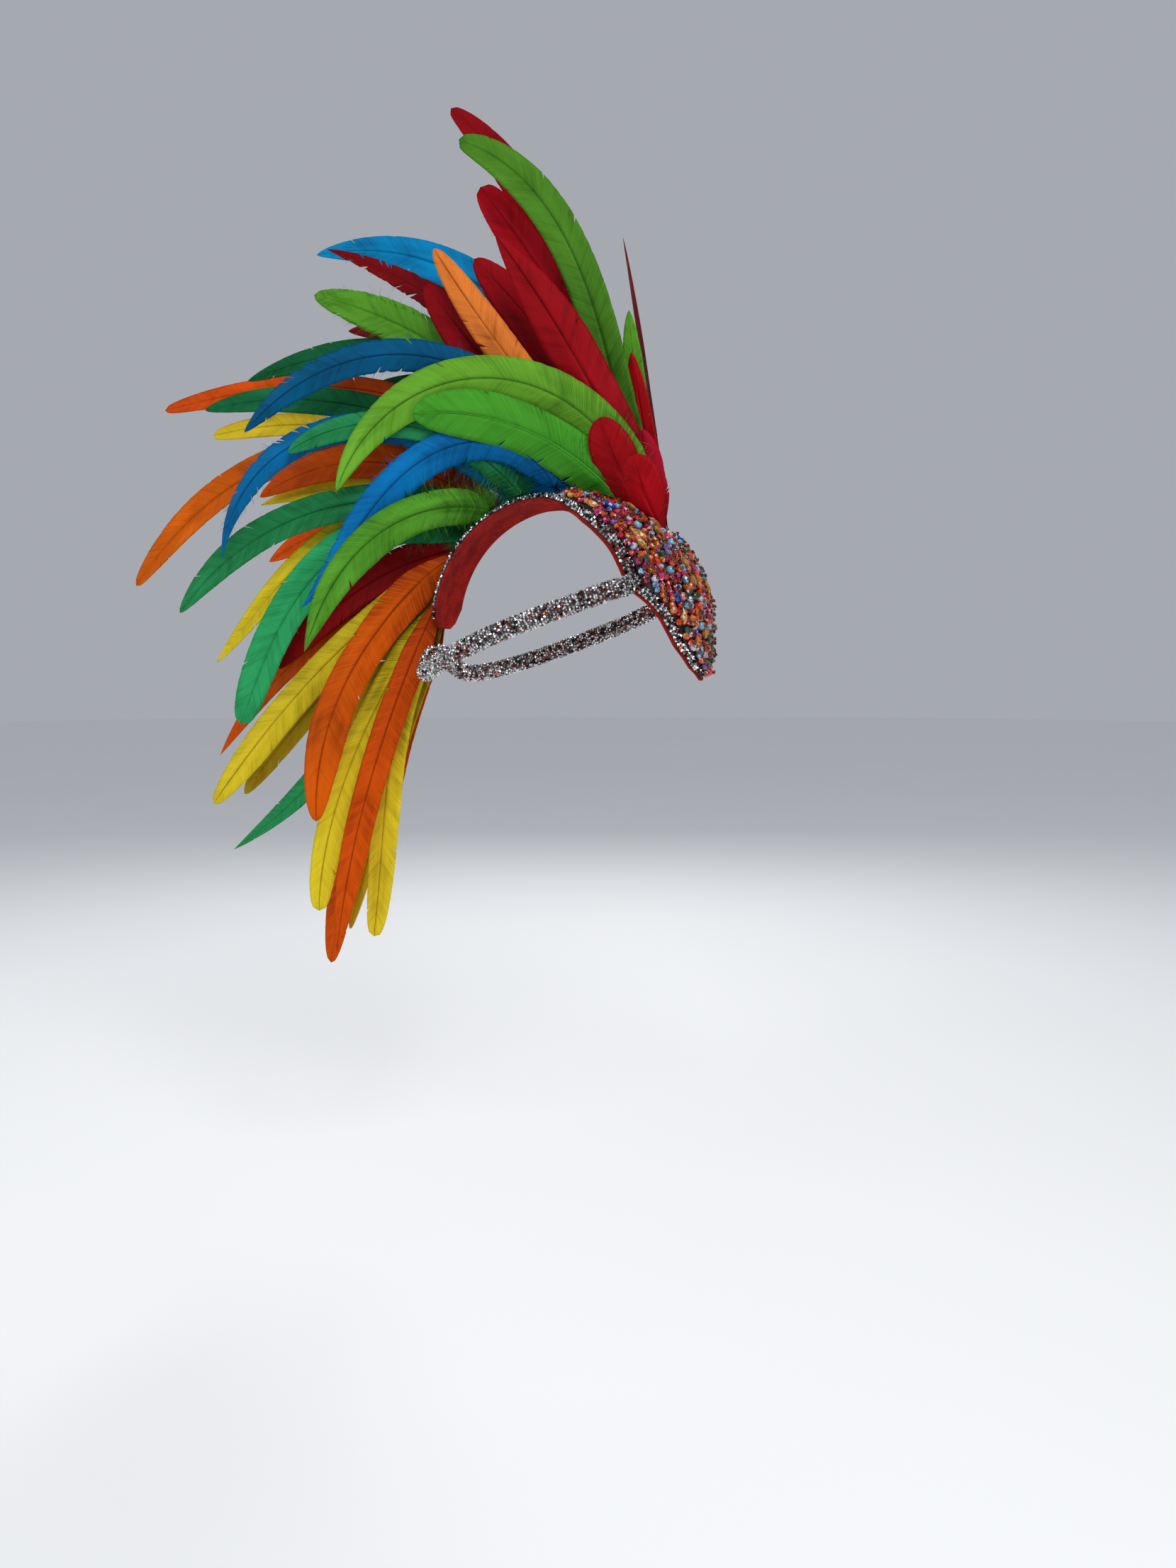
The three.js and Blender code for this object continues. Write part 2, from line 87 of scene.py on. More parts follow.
# Crest: layers of feathers side by side, which lean apart with their height above the bed.
LAYER = {"middle": 8, "pitch": 1.3, "lean": 2.3, "hang_share": 0.5, "height_scale": 90}
FEATHER = {"root_lift": 1.7, "cup": 0.18, "roof": 1.3, "quill": 0.7, "shaft_tip": 0.14, "curl": 8}
FEATHER_COLUMNS = ("dye", "layer", "root", "length", "width", "rise", "bend", "sway", "twist", "tip")
FEATHER_ROWS = (
    ("red", 1, 40, 56, 29, 31, -20, 0, 0, 0.3),
    ("red", 2, 46, 78, 31, 38, -23, 0, 0, 0.3),
    ("red", 5, 41, 70, 21, 19, -14, 0, 0, 0.2),
    ("red", 13, 42, 214, 14, 9.5, 4, 0, 68, 0.1),
    ("lime", 11, 45, 152, 16, 16, -11, 0, 15, 0.2),
    ("red", 6, 47, 220, 32, 21, 16, 0, 0, 0.1),
    ("lime", 8, 46, 309, 25, 26, 43, -29, 0, 0.4),
    ("red", 12, 45, 362, 24, 23, 26, -11, 0, 0.35),
    ("red", 10, 49, 272, 28, 18, 21, 0, 0, 0.4),
    ("wine", 9, 52, 222, 29, 24, 21, 0, 0, 0.3),
    ("apricot", 7, 55, 232, 23, 43, -10, 0, 0, 0.3),
    ("red", 8, 60, 216, 32, 48, -11, 0, 0, 0.3),
    ("blue", 11, 75, 327, 28, 6, 87, 0, 0, 0.2),
    ("wine", 10, 70, 298, 19, 27, 43, 0, 0, 0.1),
    ("lime", 9, 75, 268, 29, 35, 38, 0, 0, 0.3),
    ("wine", 12, 85, 240, 22, 22, 64, 0, 0, 0.2),
    ("green", 10, 92, 299, 20, 12, 93, 14, 0, 0.2),
    ("blue", 5, 86, 289, 22, 8, 125, 10, 0, 0.2),
    ("orange", 13, 100, 381, 18, 36, 59, 13, 0, 0.38),
    ("green", 8, 98, 280, 20, 49, 50, 0, 0, 0.25),
    ("yellow", 14, 105, 316, 18, 56, 39, 0, 0, 0.4),
    ("blue", 6, 106, 285, 21, 44, 129, -14, 0, 0.1),
    ("orange", 12, 118, 387, 26, 44, 93, 8, 0, 0.35),
    ("orange", 10, 122, 210, 25, 46, 73, 0, 0, 0.2),
    ("yellow", 11, 127, 200, 17, 60, 45, 0, 0, 0.1),
    ("teal", 5, 104, 190, 18, 36, 83, 0, 0, 0.3),
    ("lime", 4, 52, 292, 31, 10, 147, 0, 0, 0.15),
    ("lime", 3, 60, 166, 33, 37, 57, 0, 0, 0.3),
    ("blue", 4, 88, 246, 25, 18, 118, 48, 0, 0.05),
    ("lime", 2, 118, 183, 25, 73, 92, 9, 0, 0.05),
    ("teal", 8, 125, 276, 24, 66, 74, 0, 0, 0.25),
    ("yellow", 10, 132, 267, 19, 51, 82, 28, 0, 0.15),
    ("teal", 9, 135, 269, 30, 59, 99, 22, 0, 0.4),
    ("wine", 11, 140, 190, 26, 95, 44, 0, 0, 0.2),
    ("orange", 12, 150, 274, 19, 103, 37, 0, 0, 0.1),
    ("yellow", 7, 150, 260, 24, 116, 25, 5, 0, 0.35),
    ("olive", 9, 155, 240, 21, 123, 18, 0, 0, 0.3),
    ("orange", 3, 145, 218, 27, 123, 60, 0, 0, 0.3),
    ("olive", 8, 160, 130, 20, 140, 8, 0, 0, 0.2),
    ("teal", 13, 158, 312, 20, 145, -25, 0, 0, 0.05),
    ("yellow", 6, 165, 247, 23, 145, 32, -5, 0, 0.4),
    ("orange", 10, 168, 292, 25, 147, 23, 0, 0, 0.35),
    ("orange", 4, 163, 264, 21, 155, 19, 0, 0, 0.2),
    ("yellow", 7, 172, 242, 22, 145, 26, 14, 0, 0.42),
    ("yellow", 11, 175, 252, 15, 154, 9, 0, 0, 0.3),
    ("red", 14, 50, 170, 28, 34, 8, 0, 0, 0.2),
    ("lime", 15, 72, 210, 32, 30, 35, 0, 0, 0.2),
    ("blue", 15, 98, 220, 28, 50, 60, 0, 0, 0.2),
    ("orange", 15, 118, 230, 26, 75, 40, 0, 0, 0.2),
    ("lime", 15, 138, 200, 30, 100, 45, 0, 0, 0.2),
    ("yellow", 14, 150, 210, 24, 115, 35, 0, 0, 0.2),
    ("orange", 14, 165, 230, 24, 150, 15, 0, 0, 0.2),
    ("green", 14, 76, 230, 26, 35, 60, 0, 0, 0.2),
    ("blue", 14, 124, 210, 26, 70, 75, 0, 0, 0.2),
    ("red", 9, 43, 122, 15, 14, -5, 0, 0, 0.2),
)

# Numbers of the feathers whose barbs have parted, of those with soft loose barbs, of those with much down at
# the root, and of those with a pale shaft.
FRAYED = {14}
SOFT = {15, 18, 22, 29}
DOWNY = {13, 17, 18, 20, 22, 24, 26, 27, 28, 29, 30, 31, 33, 47, 48, 49, 53, 54}
PALE_SHAFT = {1, 2, 3, 28}
WEAR_COLUMNS = ("cuts", "cut_from", "gap", "lip", "nick", "loose", "loose_length")
WEAR_ROWS = {
    "smooth": ((1, 4), (0.4, 0.75), 1.1, 0.4, 0.012, 14, (0.3, 2.2)),
    "soft": ((5, 8), (0.35, 0.6), 1.6, 0.6, 0.03, 170, (1.5, 7.0)),
    "frayed": ((8, 11), (0.2, 0.35), 2.8, 1.0, 0.05, 40, (0.5, 3.5)),
}

# Feathers drawn brighter or darker than their dye, some with a shifted hue: number, brightness, shift of hue
# as a share of the colour wheel.
TONE_ROWS = (
    (2, 0.8, 0),
    (3, 0.95, -0.005),
    (6, 0.82, 0),
    (7, 0.68, 0),
    (8, 0.66, 0),
    (9, 1.1, 0),
    (10, 1.3, 0),
    (12, 0.74, 0),
    (13, 1.25, -0.015),
    (14, 0.85, 0),
    (18, 0.46, -0.01),
    (22, 0.85, -0.005),
    (23, 0.85, 0.008),
    (27, 1.2, -0.008),
    (28, 0.9, 0.022),
    (30, 0.8, 0.005),
    (31, 0.95, 0),
    (33, 1.6, 0),
    (34, 1.6, 0),
    (36, 0.9, 0),
    (38, 0.85, 0.004),
    (40, 1.15, 0),
)
TONE_SPREAD = {"brightness": 0.12, "hue": 0.002}

# Vanes, loose strands at their edges, and down and tufts at the root.
BARB_SLANT = {"root": 62, "tip": 34}
VANE = {"thickness": 0.24, "ridge": 12, "first": 0.03, "least": 0.02, "sweep": 0.92, "gap": (0.3, 1.0)}
VANE_WAVES = {"waver": 0.03, "waver_rate": 9, "ripple": 0.4, "ripple_rate": 17}
VANE_SPREAD = (-0.06, 0.2)
LEAST_SPREAD = 32
DOWNY_SPREAD = (-0.08, 0.14)
BED_CLEARANCE = 1.03
PART_REACH = 7
STRAND = {"radius": 0.17, "least": 0.003, "reach": 0.25, "wave": 0.4, "across": 0.6, "part": 0.5}
STRAND_CURL = {"down": 0.72, "edge": 0.2}
LOOSE = {"span": (0.12, 0.93), "from": 0.75, "stray": 0.15, "lift": 0.8}
DOWN = {"span": 48, "length": (9, 26), "angle": (30, 95), "start": 0.3, "lift": 3.2}
DOWN_GROWTH = {"first": 0.01, "most": 0.42, "crowding": 1.2, "shortest": 0.55, "more": 0.6}
TUFT = {"span": 8, "length": (9, 27), "angle": (5, 100), "start": 0.2, "lift": 2.5, "first_root": 58}

# Barb coordinates: millimetres of shaft for each unit, and how far the next feather's pattern is shifted.
BARB_UNIT = 10
BARB_SHIFT = 7.3

# Darker and paler colours of a dye, and how much each mask of a feather's pattern takes the dye to them.
# The darker colour paints the clumps, mottle, partings and line by the shaft, and painted shade: broad
# patches, and darkening towards the root where the crowded feathers shade each other.
DYE_SHADE = {"power": 1.2, "share": 0.36}
# The paler colour carries a white veil of painted sheen, and paints the pale shafts, lighter barb strands, a
# lighter tip and outer edge, and broad patches of painted sheen.
DYE_PALE_AND_SHEEN = {"share": 1.25, "painted_sheen": 0.03}
BARB_DARK_AND_SHADE = {"clumps": 0.35, "mottle": 0.4, "folds": 0.42, "parting": 0.3, "shaft": 0.2, "root": 0.85}
BARB_PALE_AND_SHEEN = {"strands": 0.45, "folds": 0.55, "tip": 0.15}

# Colours of the sewn beads: name, red, green, blue from 0 to 255, share of its kind.
CRYSTAL_TINTS = (
    ("amber orange", 250, 98, 12, 0.26),
    ("deep orange", 238, 58, 8, 0.16),
    ("magenta", 206, 24, 100, 0.17),
    ("ruby", 186, 16, 28, 0.14),
    ("emerald", 12, 84, 46, 0.05),
    ("clear rainbow", 196, 190, 220, 0.06),
    ("violet rainbow", 124, 92, 168, 0.04),
    ("milky blue", 112, 168, 206, 0.06),
    ("cobalt", 18, 66, 190, 0.02),
    ("gold", 210, 146, 56, 0.04),
)
ROUND_TINTS = (
    ("milky blue", 120, 172, 204, 0.62),
    ("bottle green", 10, 66, 38, 0.13),
    ("pale rose", 214, 130, 132, 0.12),
    ("orange", 224, 92, 26, 0.13),
)
DROP_TINTS = (
    ("amber", 206, 132, 50, 0.88),
    ("cobalt", 16, 60, 196, 0.12),
)
SEED_TINTS = (
    ("bronze", 112, 82, 56, 0.4),
    ("gunmetal", 78, 74, 80, 0.3),
    ("copper", 122, 80, 50, 0.2),
    ("violet", 84, 62, 90, 0.1),
)

# Size, place and painted sparkle of the beads and chips, mostly as shares of one bead or chip.
TINT_SPREAD = (0.75, 1.2)
SEED = {"share": 0.6, "lift": 0.15}
CRYSTAL = {"size": (0.82, 1.15), "flat": 0.9, "seat": 0.42, "lift": (0, 1.2)}
FIELD = {"first": -21, "last": 81, "row_pitch": 0.82, "margin": 0.8, "stagger": 0.5, "jitter": 0.12}
FIELD_CLEAR = 0.82
DROP = {"share": 0.05, "width": 4.6, "length": 11, "lift": 1.5, "taper": 0.75}
# Tints of the chips, partly their own silver and hematite tones and partly painted reflections: white
# highlights, dark reflections of the room and red-brown glints.
CHIP_TINTS = ((240, 240, 240), (190, 188, 188), (124, 118, 118), (54, 48, 50), (158, 66, 48))
CHIP_SHARES = (0.44, 0.23, 0.13, 0.13, 0.07)
CHIP_SIDES = (5, 6, 7)
CHIP_SIZES = (0.85, 1.1)
TRIM_CHIPS = {"first": 0.25, "stagger": 0.5, "step": 0.97, "jitter": 0.07, "clear": 0.8}
ROPE_CHIPS = {"core": 0.2, "seat": 0.25, "along": 0.88, "around": 0.95, "turn_jitter": 0.1, "jitter": 0.15}
ROPE_END_RINGS = (0, 0.4, 0.8)
# Painted reflections on the facets: the step that pushes each facet towards its lighter and darker ends, the
# white of a painted glint, how far each kind's facets are painted lighter and darker, and each kind's share of
# painted glints.
FACET_STEP = (0.2, 0.8)
GLINT = 0.9
SPARKLE = {"trim": 0.85, "rope": 0.7, "crystal": 0.7, "drop": 0.4}
GLINTS = {"crystal": 0.04, "drop": 0.03}
TILT = {"chip": 0.22, "crystal": 0.3, "seed": 0.45}

# Facets round and up the beads, columns and rows of the grids, and seeds of the random draws.
FACETS = {"round": (14, 9), "crystal": (8, 5), "drop": (7, 7)}
GRIDS = {
    "felt": (32, 150),
    "trim": (6, 180),
    "panel": (30, 48),
    "lobe": (8, 32),
    "shaft": (6, 36),
    "strand": (3, 4),
}
ROPE_SIDES = 16
SEEDS = {"trim": 21, "rope": 34, "beads": 55, "feathers": 1000}

# Camera that took the photograph: where it looks from, its lens on the long side, and the origin's pixel.
PHOTO = {"width": 1659, "height": 2212, "lens_px": 1662, "origin_x": 760, "origin_y": 707}
VIEW = {"azimuth": -73, "elevation": 5, "distance": 0.8}
SENSOR = 36
FLOOR_TONES = (0.93, 0.96)
FLOOR_RADIUS = 12

# Soft lights that face the origin: name, place in metres, width, share of the key light's power.
LIGHTS = (
    ("key", (-1.3, -0.9, 1.1), 1.1, 1.0),
    ("fill", (-1.0, 1.2, 0.5), 1.2, 0.3),
    ("rim", (1.2, 0.4, 0.9), 0.8, 0.5),
)


def linear(red, green, blue):
    """A colour from 0 to 255 as it looks on a screen, as the linear colour that shaders take."""
    shares = [channel / 255 for channel in (red, green, blue)]
    return tuple(c / 12.92 if c <= 0.04045 else ((c + 0.055) / 1.055) ** 2.4 for c in shares)


def colour_property(name, description, *colour):
    """A colour setting, given as it looks on a screen."""
    return FloatVectorProperty(
        name=name, description=description, default=linear(*colour), size=3, min=0, max=1, subtype="COLOR"
    )


def dye_property(name, *colour):
    """A colour setting for one dye of the feathers."""
    return colour_property(name, f"Dye of the {name.lower()} feathers", *colour)


def length_property(name, description, metres):
    return FloatProperty(name=name, description=description, default=metres, unit="LENGTH")


class HeaddressCrestSettings(bpy.types.PropertyGroup):
    """Dyes and fineness of the feathers."""

    red: dye_property("Red", 152, 4, 14)
    wine: dye_property("Wine", 122, 2, 12)
    orange: dye_property("Orange", 206, 76, 0)
    apricot: dye_property("Apricot", 212, 116, 44)
    yellow: dye_property("Yellow", 212, 188, 34)
    olive: dye_property("Olive", 156, 128, 12)
    lime: dye_property("Lime", 86, 150, 38)
    green: dye_property("Green", 10, 90, 48)
    teal: dye_property("Teal", 32, 128, 72)
    blue: dye_property("Blue", 0, 100, 160)
    barb_rows: IntProperty(name="Barb rows", description="Rows of barbs along a vane", default=110, min=20)
    barb_columns: IntProperty(name="Barb columns", description="Steps along a barb", default=5, min=2)
    down_strands: IntProperty(name="Down", description="Loose strands at a downy root", default=300, min=0)


class HeaddressBaseSettings(bpy.types.PropertyGroup):
    """Felt and its trim."""

    felt_colour: colour_property("Felt", "Colour of the felt base", 158, 26, 20)
    chip_size: length_property("Chip size", "Width of one crystal chip on the trim", 2.7 * MM)
    rope_chip_size: length_property("Rope chip size", "Width of one crystal chip on the rope", 2.2 * MM)


class HeaddressBeadSettings(bpy.types.PropertyGroup):
    """Sewn beads on the forehead."""

    crystal_size: length_property("Crystal size", "Width of a faceted bead", 5.0 * MM)
    seed_size: length_property("Seed bead size", "Width of the seed bead that holds each bead", 2.9 * MM)
    pitch: length_property("Pitch", "Distance from bead to bead", 4.7 * MM)


class HeaddressStageSettings(bpy.types.PropertyGroup):
    """Floor, backdrop and light."""

    floor_height: length_property("Floor height", "Height of the floor under the crown", -0.51)
    pale: colour_property("Backdrop", "Colour of the backdrop", 166, 170, 176)
    key_power: FloatProperty(name="Key light", description="Power of the key light", default=22, unit="POWER")


# Shapes in millimetres


def unit(vectors):
    return vectors / np.maximum(np.linalg.norm(vectors, axis=-1, keepdims=True), 1e-9)


def ease(low, high, value):
    t = np.clip((value - low) / (high - low), 0, 1)
    return t * t * (3 - 2 * t)


def scatter(index):
    """The repeatable number from 0 to 1 that places each main bead, as in the solids."""
    wave = math.sin(index * 12.9898 + 4.137) * 43758.5453
    return wave - math.floor(wave)


def head_point(station, side, height):
    """Points of the head form at stations and side angles, lifted outwards by a height."""
    station, side, height = np.broadcast_arrays(station, side, height)
    reach = np.where(station < 90, HEAD["front"], HEAD["back"]) + height
    dome = np.radians(np.clip(station, 0, 180))
    below = np.maximum(-station, 0) + np.maximum(station - 180, 0)
    inward = np.cos(np.radians(side))
    return np.stack(
        [
            (HEAD["half_width"] + height) * np.sin(np.radians(side)),
            HEAD["centre_y"] - reach * inward * np.cos(dome),
            HEAD["centre_z"] + (HEAD["height"] + height) * inward * np.sin(dome) - below * MM_PER_STATION,
        ],
        axis=-1,
    )


def head_frames(station, side, height):
    """Points of the head form, and at each the directions across, along and out of it as a matrix."""
    point = head_point(station, side, height)
    out = unit(head_point(station, side, np.add(height, 1)) - point)
    along = unit(head_point(np.add(station, 0.5), side, height) - point)
    across = unit(np.cross(along, out))
    return point, np.stack([across, np.cross(out, across), out], axis=-1)


def half_angle(station):
    return np.interp(station, OUTLINE_STATIONS, OUTLINE_ANGLES)


def inside_edge(station, inset):
    """Side angle that lies a distance in from the felt's edge."""
    edge = HEAD["half_width"] * np.sin(np.radians(half_angle(station)))
    return np.degrees(np.arcsin(np.maximum(0, edge - inset) / HEAD["half_width"]))


def in_from_edge(station, distance):
    """Side angle that lies a distance in from the felt's edge, measured over the surface."""
    return np.maximum(0, half_angle(station) - np.degrees(np.divide(distance, SIDE_RADIUS)))


def bead_span(station):
    """Side angles between which beads lie at a station."""
    outer = inside_edge(station, TRIM["inset"] + TRIM["width"] + 2 * GAP)
    bed = np.where(np.asarray(station) > BED["front_station"], BED["half_width"], 0)
    return np.degrees(np.arcsin(bed / HEAD["half_width"])), outer


def round_bead_spots():
    """Stations and side angles of the main round beads, as in the solids."""
    margin = math.degrees((ROUND_BEAD["radius"] + ROUND_BEAD["margin"]) / HEAD["half_width"])
    spots = []
    row_step = ROUND_BEAD["pitch"] / MM_PER_STATION
    for station in np.arange(ROUND_BEAD["first"], ROUND_BEAD["last"], row_step):
        inner, outer = (float(side) for side in bead_span(station))
        low = inner + margin if inner > 0 else -(outer - margin)
        high = outer - margin
        room = math.radians(high - low) * HEAD["half_width"]
        count = max(1, round(room / ROUND_BEAD["pitch"]))
        for i in range(count):
            jitter = (scatter(len(spots)) - 0.5) * ROUND_BEAD["jitter"]
            side = low + (i + 0.5 + jitter) / count * (high - low)
            hands = (-1, 1) if inner > 0 else (1,)
            spots.extend((station, hand * side) for hand in hands)
    return np.array(spots)


def run_along(path):
    """Distance from the start of a path at each of its points."""
    return np.concatenate([[0], np.cumsum(np.linalg.norm(np.diff(path, axis=0), axis=1))])


def circle(angle):
    return np.stack([np.cos(angle), np.sin(angle), 0 * angle], axis=-1)


def sample_evenly(path, spacing):
    """Points a spacing apart along a path of points."""
    run = run_along(path)
    at = np.linspace(0, run[-1], max(2, round(run[-1] / spacing) + 1))
    return np.stack([np.interp(at, run, path[:, k]) for k in range(3)], axis=-1)


def rope_path():
    """Centre of the rope from the right temple round the back to the left one."""
    reach = ROPE["radius"] + ROPE["clearance"]
    turns = np.radians(ROPE_TURNS)
    length = np.where(np.array(ROPE_TURNS) < 90, HEAD["front"], HEAD["back"]) + reach
    half = np.stack(
        [
            -(HEAD["half_width"] + reach) * np.sin(turns),
            HEAD["centre_y"] - length * np.cos(turns),
            np.array(ROPE_HEIGHTS, float),
        ],
        axis=-1,
    )
    other = (half * (-1, 1, 1))[-2::-1]
    knots = np.concatenate([half, other])
    return smooth_through(knots, 12)


def smooth_through(knots, steps):
    """A smooth curve through knots, a number of steps between each two."""
    padded = np.concatenate([2 * knots[:1] - knots[1:2], knots, 2 * knots[-1:] - knots[-2:-1]])
    t = np.linspace(0, 1, steps, endpoint=False)[:, None]
    curve = []
    for a, b, c, d in zip(padded, padded[1:], padded[2:], padded[3:]):
        bend = (2 * a - 5 * b + 4 * c - d) * t**2 + (3 * b - 3 * c + d - a) * t**3
        curve.append(b + ((c - a) * t + bend) / 2)
    return np.concatenate([*curve, knots[-1:]])


def path_frames(path):
    """Directions across, across and along a path, turning as little as they can."""
    along = unit(np.gradient(path, axis=0))
    side = unit(np.cross(along[0], (0.0, 0.0, 1.0)))
    frames = []
    for direction in along:
        side = unit(side - direction * side.dot(direction))
        frames.append(np.stack([side, np.cross(direction, side), direction], axis=-1))
    return np.array(frames)


# Meshes from grids and copies


def grid_sheet(columns, rows, cut_rows=(), cut_from=1.0, walled=False):
    """A unit grid, cut open from a share of its width along some rows, and closed to a thin slab if walled.

    Gives its vertices as (across, along, side of the slab), its faces, and for each vertex the level where
    its faces lie, which tells the two lips of a cut apart.
    """
    bm = bmesh.new()
    bmesh.ops.create_grid(bm, x_segments=columns, y_segments=rows, size=0.5)
    bmesh.ops.translate(bm, vec=(0.5, 0.5, 0), verts=bm.verts)
    cut_rows = {int(row) for row in cut_rows}

    def is_cut(edge):
        heights = [vert.co.y * rows for vert in edge.verts]
        level = abs(heights[0] - heights[1]) < 0.1 and round(heights[0]) in cut_rows
        return level and min(vert.co.x for vert in edge.verts) > cut_from

    bmesh.ops.split_edges(bm, edges=[edge for edge in bm.edges if is_cut(edge)])
    if walled:
        bmesh.ops.solidify(bm, geom=bm.faces, thickness=1.0)
        lowest = min(vert.co.z for vert in bm.verts)
        bmesh.ops.translate(bm, vec=(0, 0, -lowest), verts=bm.verts)
    bm.verts.index_update()
    flat = np.array([vert.co for vert in bm.verts])
    faces = np.array([[vert.index for vert in face.verts] for face in bm.faces])
    middles = [[face.calc_center_median().y for face in vert.link_faces] for vert in bm.verts]
    bm.free()
    return flat, faces, np.array([sum(row) / len(row) for row in middles])


def small_shape(make):
    """Vertices and triangles of a small shape that make(bm) builds."""
    bm = bmesh.new()
    make(bm)
    bmesh.ops.recalc_face_normals(bm, faces=bm.faces)
    bmesh.ops.triangulate(bm, faces=bm.faces)
    bm.verts.index_update()
    verts = np.array([vert.co for vert in bm.verts])
    faces = np.array([[vert.index for vert in face.verts] for face in bm.faces])
    bm.free()
    return verts, faces


def copies(shape, places, frames, sizes, tints, rng, sparkle=0.0, glints=0.0):
    """Arrays of one mesh that holds many copies of a small shape, and a tint for each facet of each copy.

    Sparkle is how far the facets are painted lighter and darker as painted reflections, and glints the share
    of facets painted white as painted glints.
    """
    verts, faces = shape
    spread = np.einsum("nij,nvj->nvi", frames, verts[None] * sizes[:, None, :]) + places[:, None, :]
    offsets = np.arange(len(places))[:, None, None] * len(verts)
    # Painted reflections: each facet's tint made lighter or darker, mostly near the ends of the range.
    facet = 1 + sparkle * (2 * ease(*FACET_STEP, rng.random((len(places), len(faces), 1))) - 1)
    # Painted glints: a share of the facets painted white.
    flash = rng.random((len(places), len(faces), 1)) < glints
    facet_tints = np.where(flash, GLINT, np.minimum(1, tints[:, None, :] * facet))
    return spread.reshape(-1, 3), (faces[None] + offsets).reshape(-1, 3), facet_tints.reshape(-1, 3)


def joined(groups):
    """Several groups as one: vertices, faces, and what goes with the vertices or faces."""
    firsts = np.cumsum([0] + [len(group[0]) for group in groups])
    verts, faces, *others = zip(*groups)
    moved = [group_faces + first for group_faces, first in zip(faces, firsts)]
    return [np.concatenate(column) for column in (verts, moved, *others)]


def mesh_from(name, verts, faces):
    """A mesh in metres from vertices in millimetres."""
    mesh = bpy.data.meshes.new(name)
    mesh.from_pydata((np.asarray(verts) * MM).tolist(), [], [list(map(int, face)) for face in faces])
    return mesh


def merge_doubles(mesh):
    """Closes the seams and poles where vertices lie on each other."""
    bm = bmesh.new()
    bm.from_mesh(mesh)
    bmesh.ops.remove_doubles(bm, verts=bm.verts, dist=1e-6)
    bm.to_mesh(mesh)
    bm.free()


def paint(mesh, name, colours, domain="POINT"):
    """Stores a colour on each vertex, or on each corner of the faces."""
    layer = mesh.color_attributes.new(name=name, type="FLOAT_COLOR", domain=domain)
    flat = np.ones((len(colours), 4), dtype=np.float32)
    flat[:, :3] = colours
    layer.data.foreach_set("color", flat.ravel())


def add_piece(mesh, materials, nodes=(), smooth=True):
    """Puts a finished mesh in the scene as a piece of the headdress."""
    mesh.polygons.foreach_set("use_smooth", [smooth] * len(mesh.polygons))
    for material in materials:
        mesh.materials.append(material)
    piece = bpy.data.objects.new(mesh.name, mesh)
    bpy.context.collection.objects.link(piece)
    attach(piece, BODY)
    if nodes:
        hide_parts(*nodes)
    return piece


def add_wall(piece, thickness, offset):
    """Thickens a sheet, in millimetres: along its normals with an offset of 1, against them with -1."""
    wall = piece.modifiers.new("wall", "SOLIDIFY")
    wall.thickness = thickness * MM
    wall.offset = offset


def turned(frames, tilt, rng):
    """Frames spun about their third direction and tilted a little, each its own way."""
    out = unit(frames[:, :, 2] + rng.normal(0, tilt, (len(frames), 3)))
    spin = rng.uniform(0, 2 * np.pi, (len(frames), 1))
    across = unit(np.cos(spin) * frames[:, :, 0] + np.sin(spin) * frames[:, :, 1])
    across = unit(across - out * (across * out).sum(axis=1, keepdims=True))
    return np.stack([across, np.cross(out, across), out], axis=-1)


# Small shapes that are repeated


def chip_shape(sides):
    """A cut stone set with its point outwards: a low girdle and a pyramid of facets."""

    def make(bm):
        girdle = bmesh.ops.create_cone(
            bm, cap_ends=True, segments=sides, radius1=0.42, radius2=0.5, depth=0.24
        )["verts"]
        bmesh.ops.translate(bm, vec=(0, 0, -0.12), verts=girdle)
        top = max(bm.faces, key=lambda face: face.calc_center_median().z)
        point = bmesh.ops.poke(bm, faces=[top])["verts"]
        bmesh.ops.translate(bm, vec=(0.03, 0.02, 0.5), verts=point)

    return small_shape(make)


def ball_shape(around, rings, taper=0.0):
    """A bead from a ball of facets, drawn in towards a point at its top by a taper."""

    def make(bm):
        bmesh.ops.create_uvsphere(bm, u_segments=around, v_segments=rings, radius=0.5)
        for vert in bm.verts:
            narrow = 1 - taper * max(0, vert.co.z * 2) ** 1.2
            vert.co.x *= narrow
            vert.co.y *= narrow

    return small_shape(make)


def ring_shape():
    """A seed bead with its hole."""

    def make(bm):
        section = bmesh.ops.create_circle(bm, cap_ends=False, segments=5, radius=0.2)["verts"]
        upright = Matrix.Translation((0.3, 0, 0)) @ Matrix.Rotation(math.pi / 2, 4, "X")
        bmesh.ops.transform(bm, matrix=upright, verts=section)
        loop = section + list({edge for vert in section for edge in vert.link_edges})
        bmesh.ops.spin(bm, geom=loop, axis=(0, 0, 1), angle=2 * math.pi, steps=8, use_merge=True)

    return small_shape(make)


# Materials


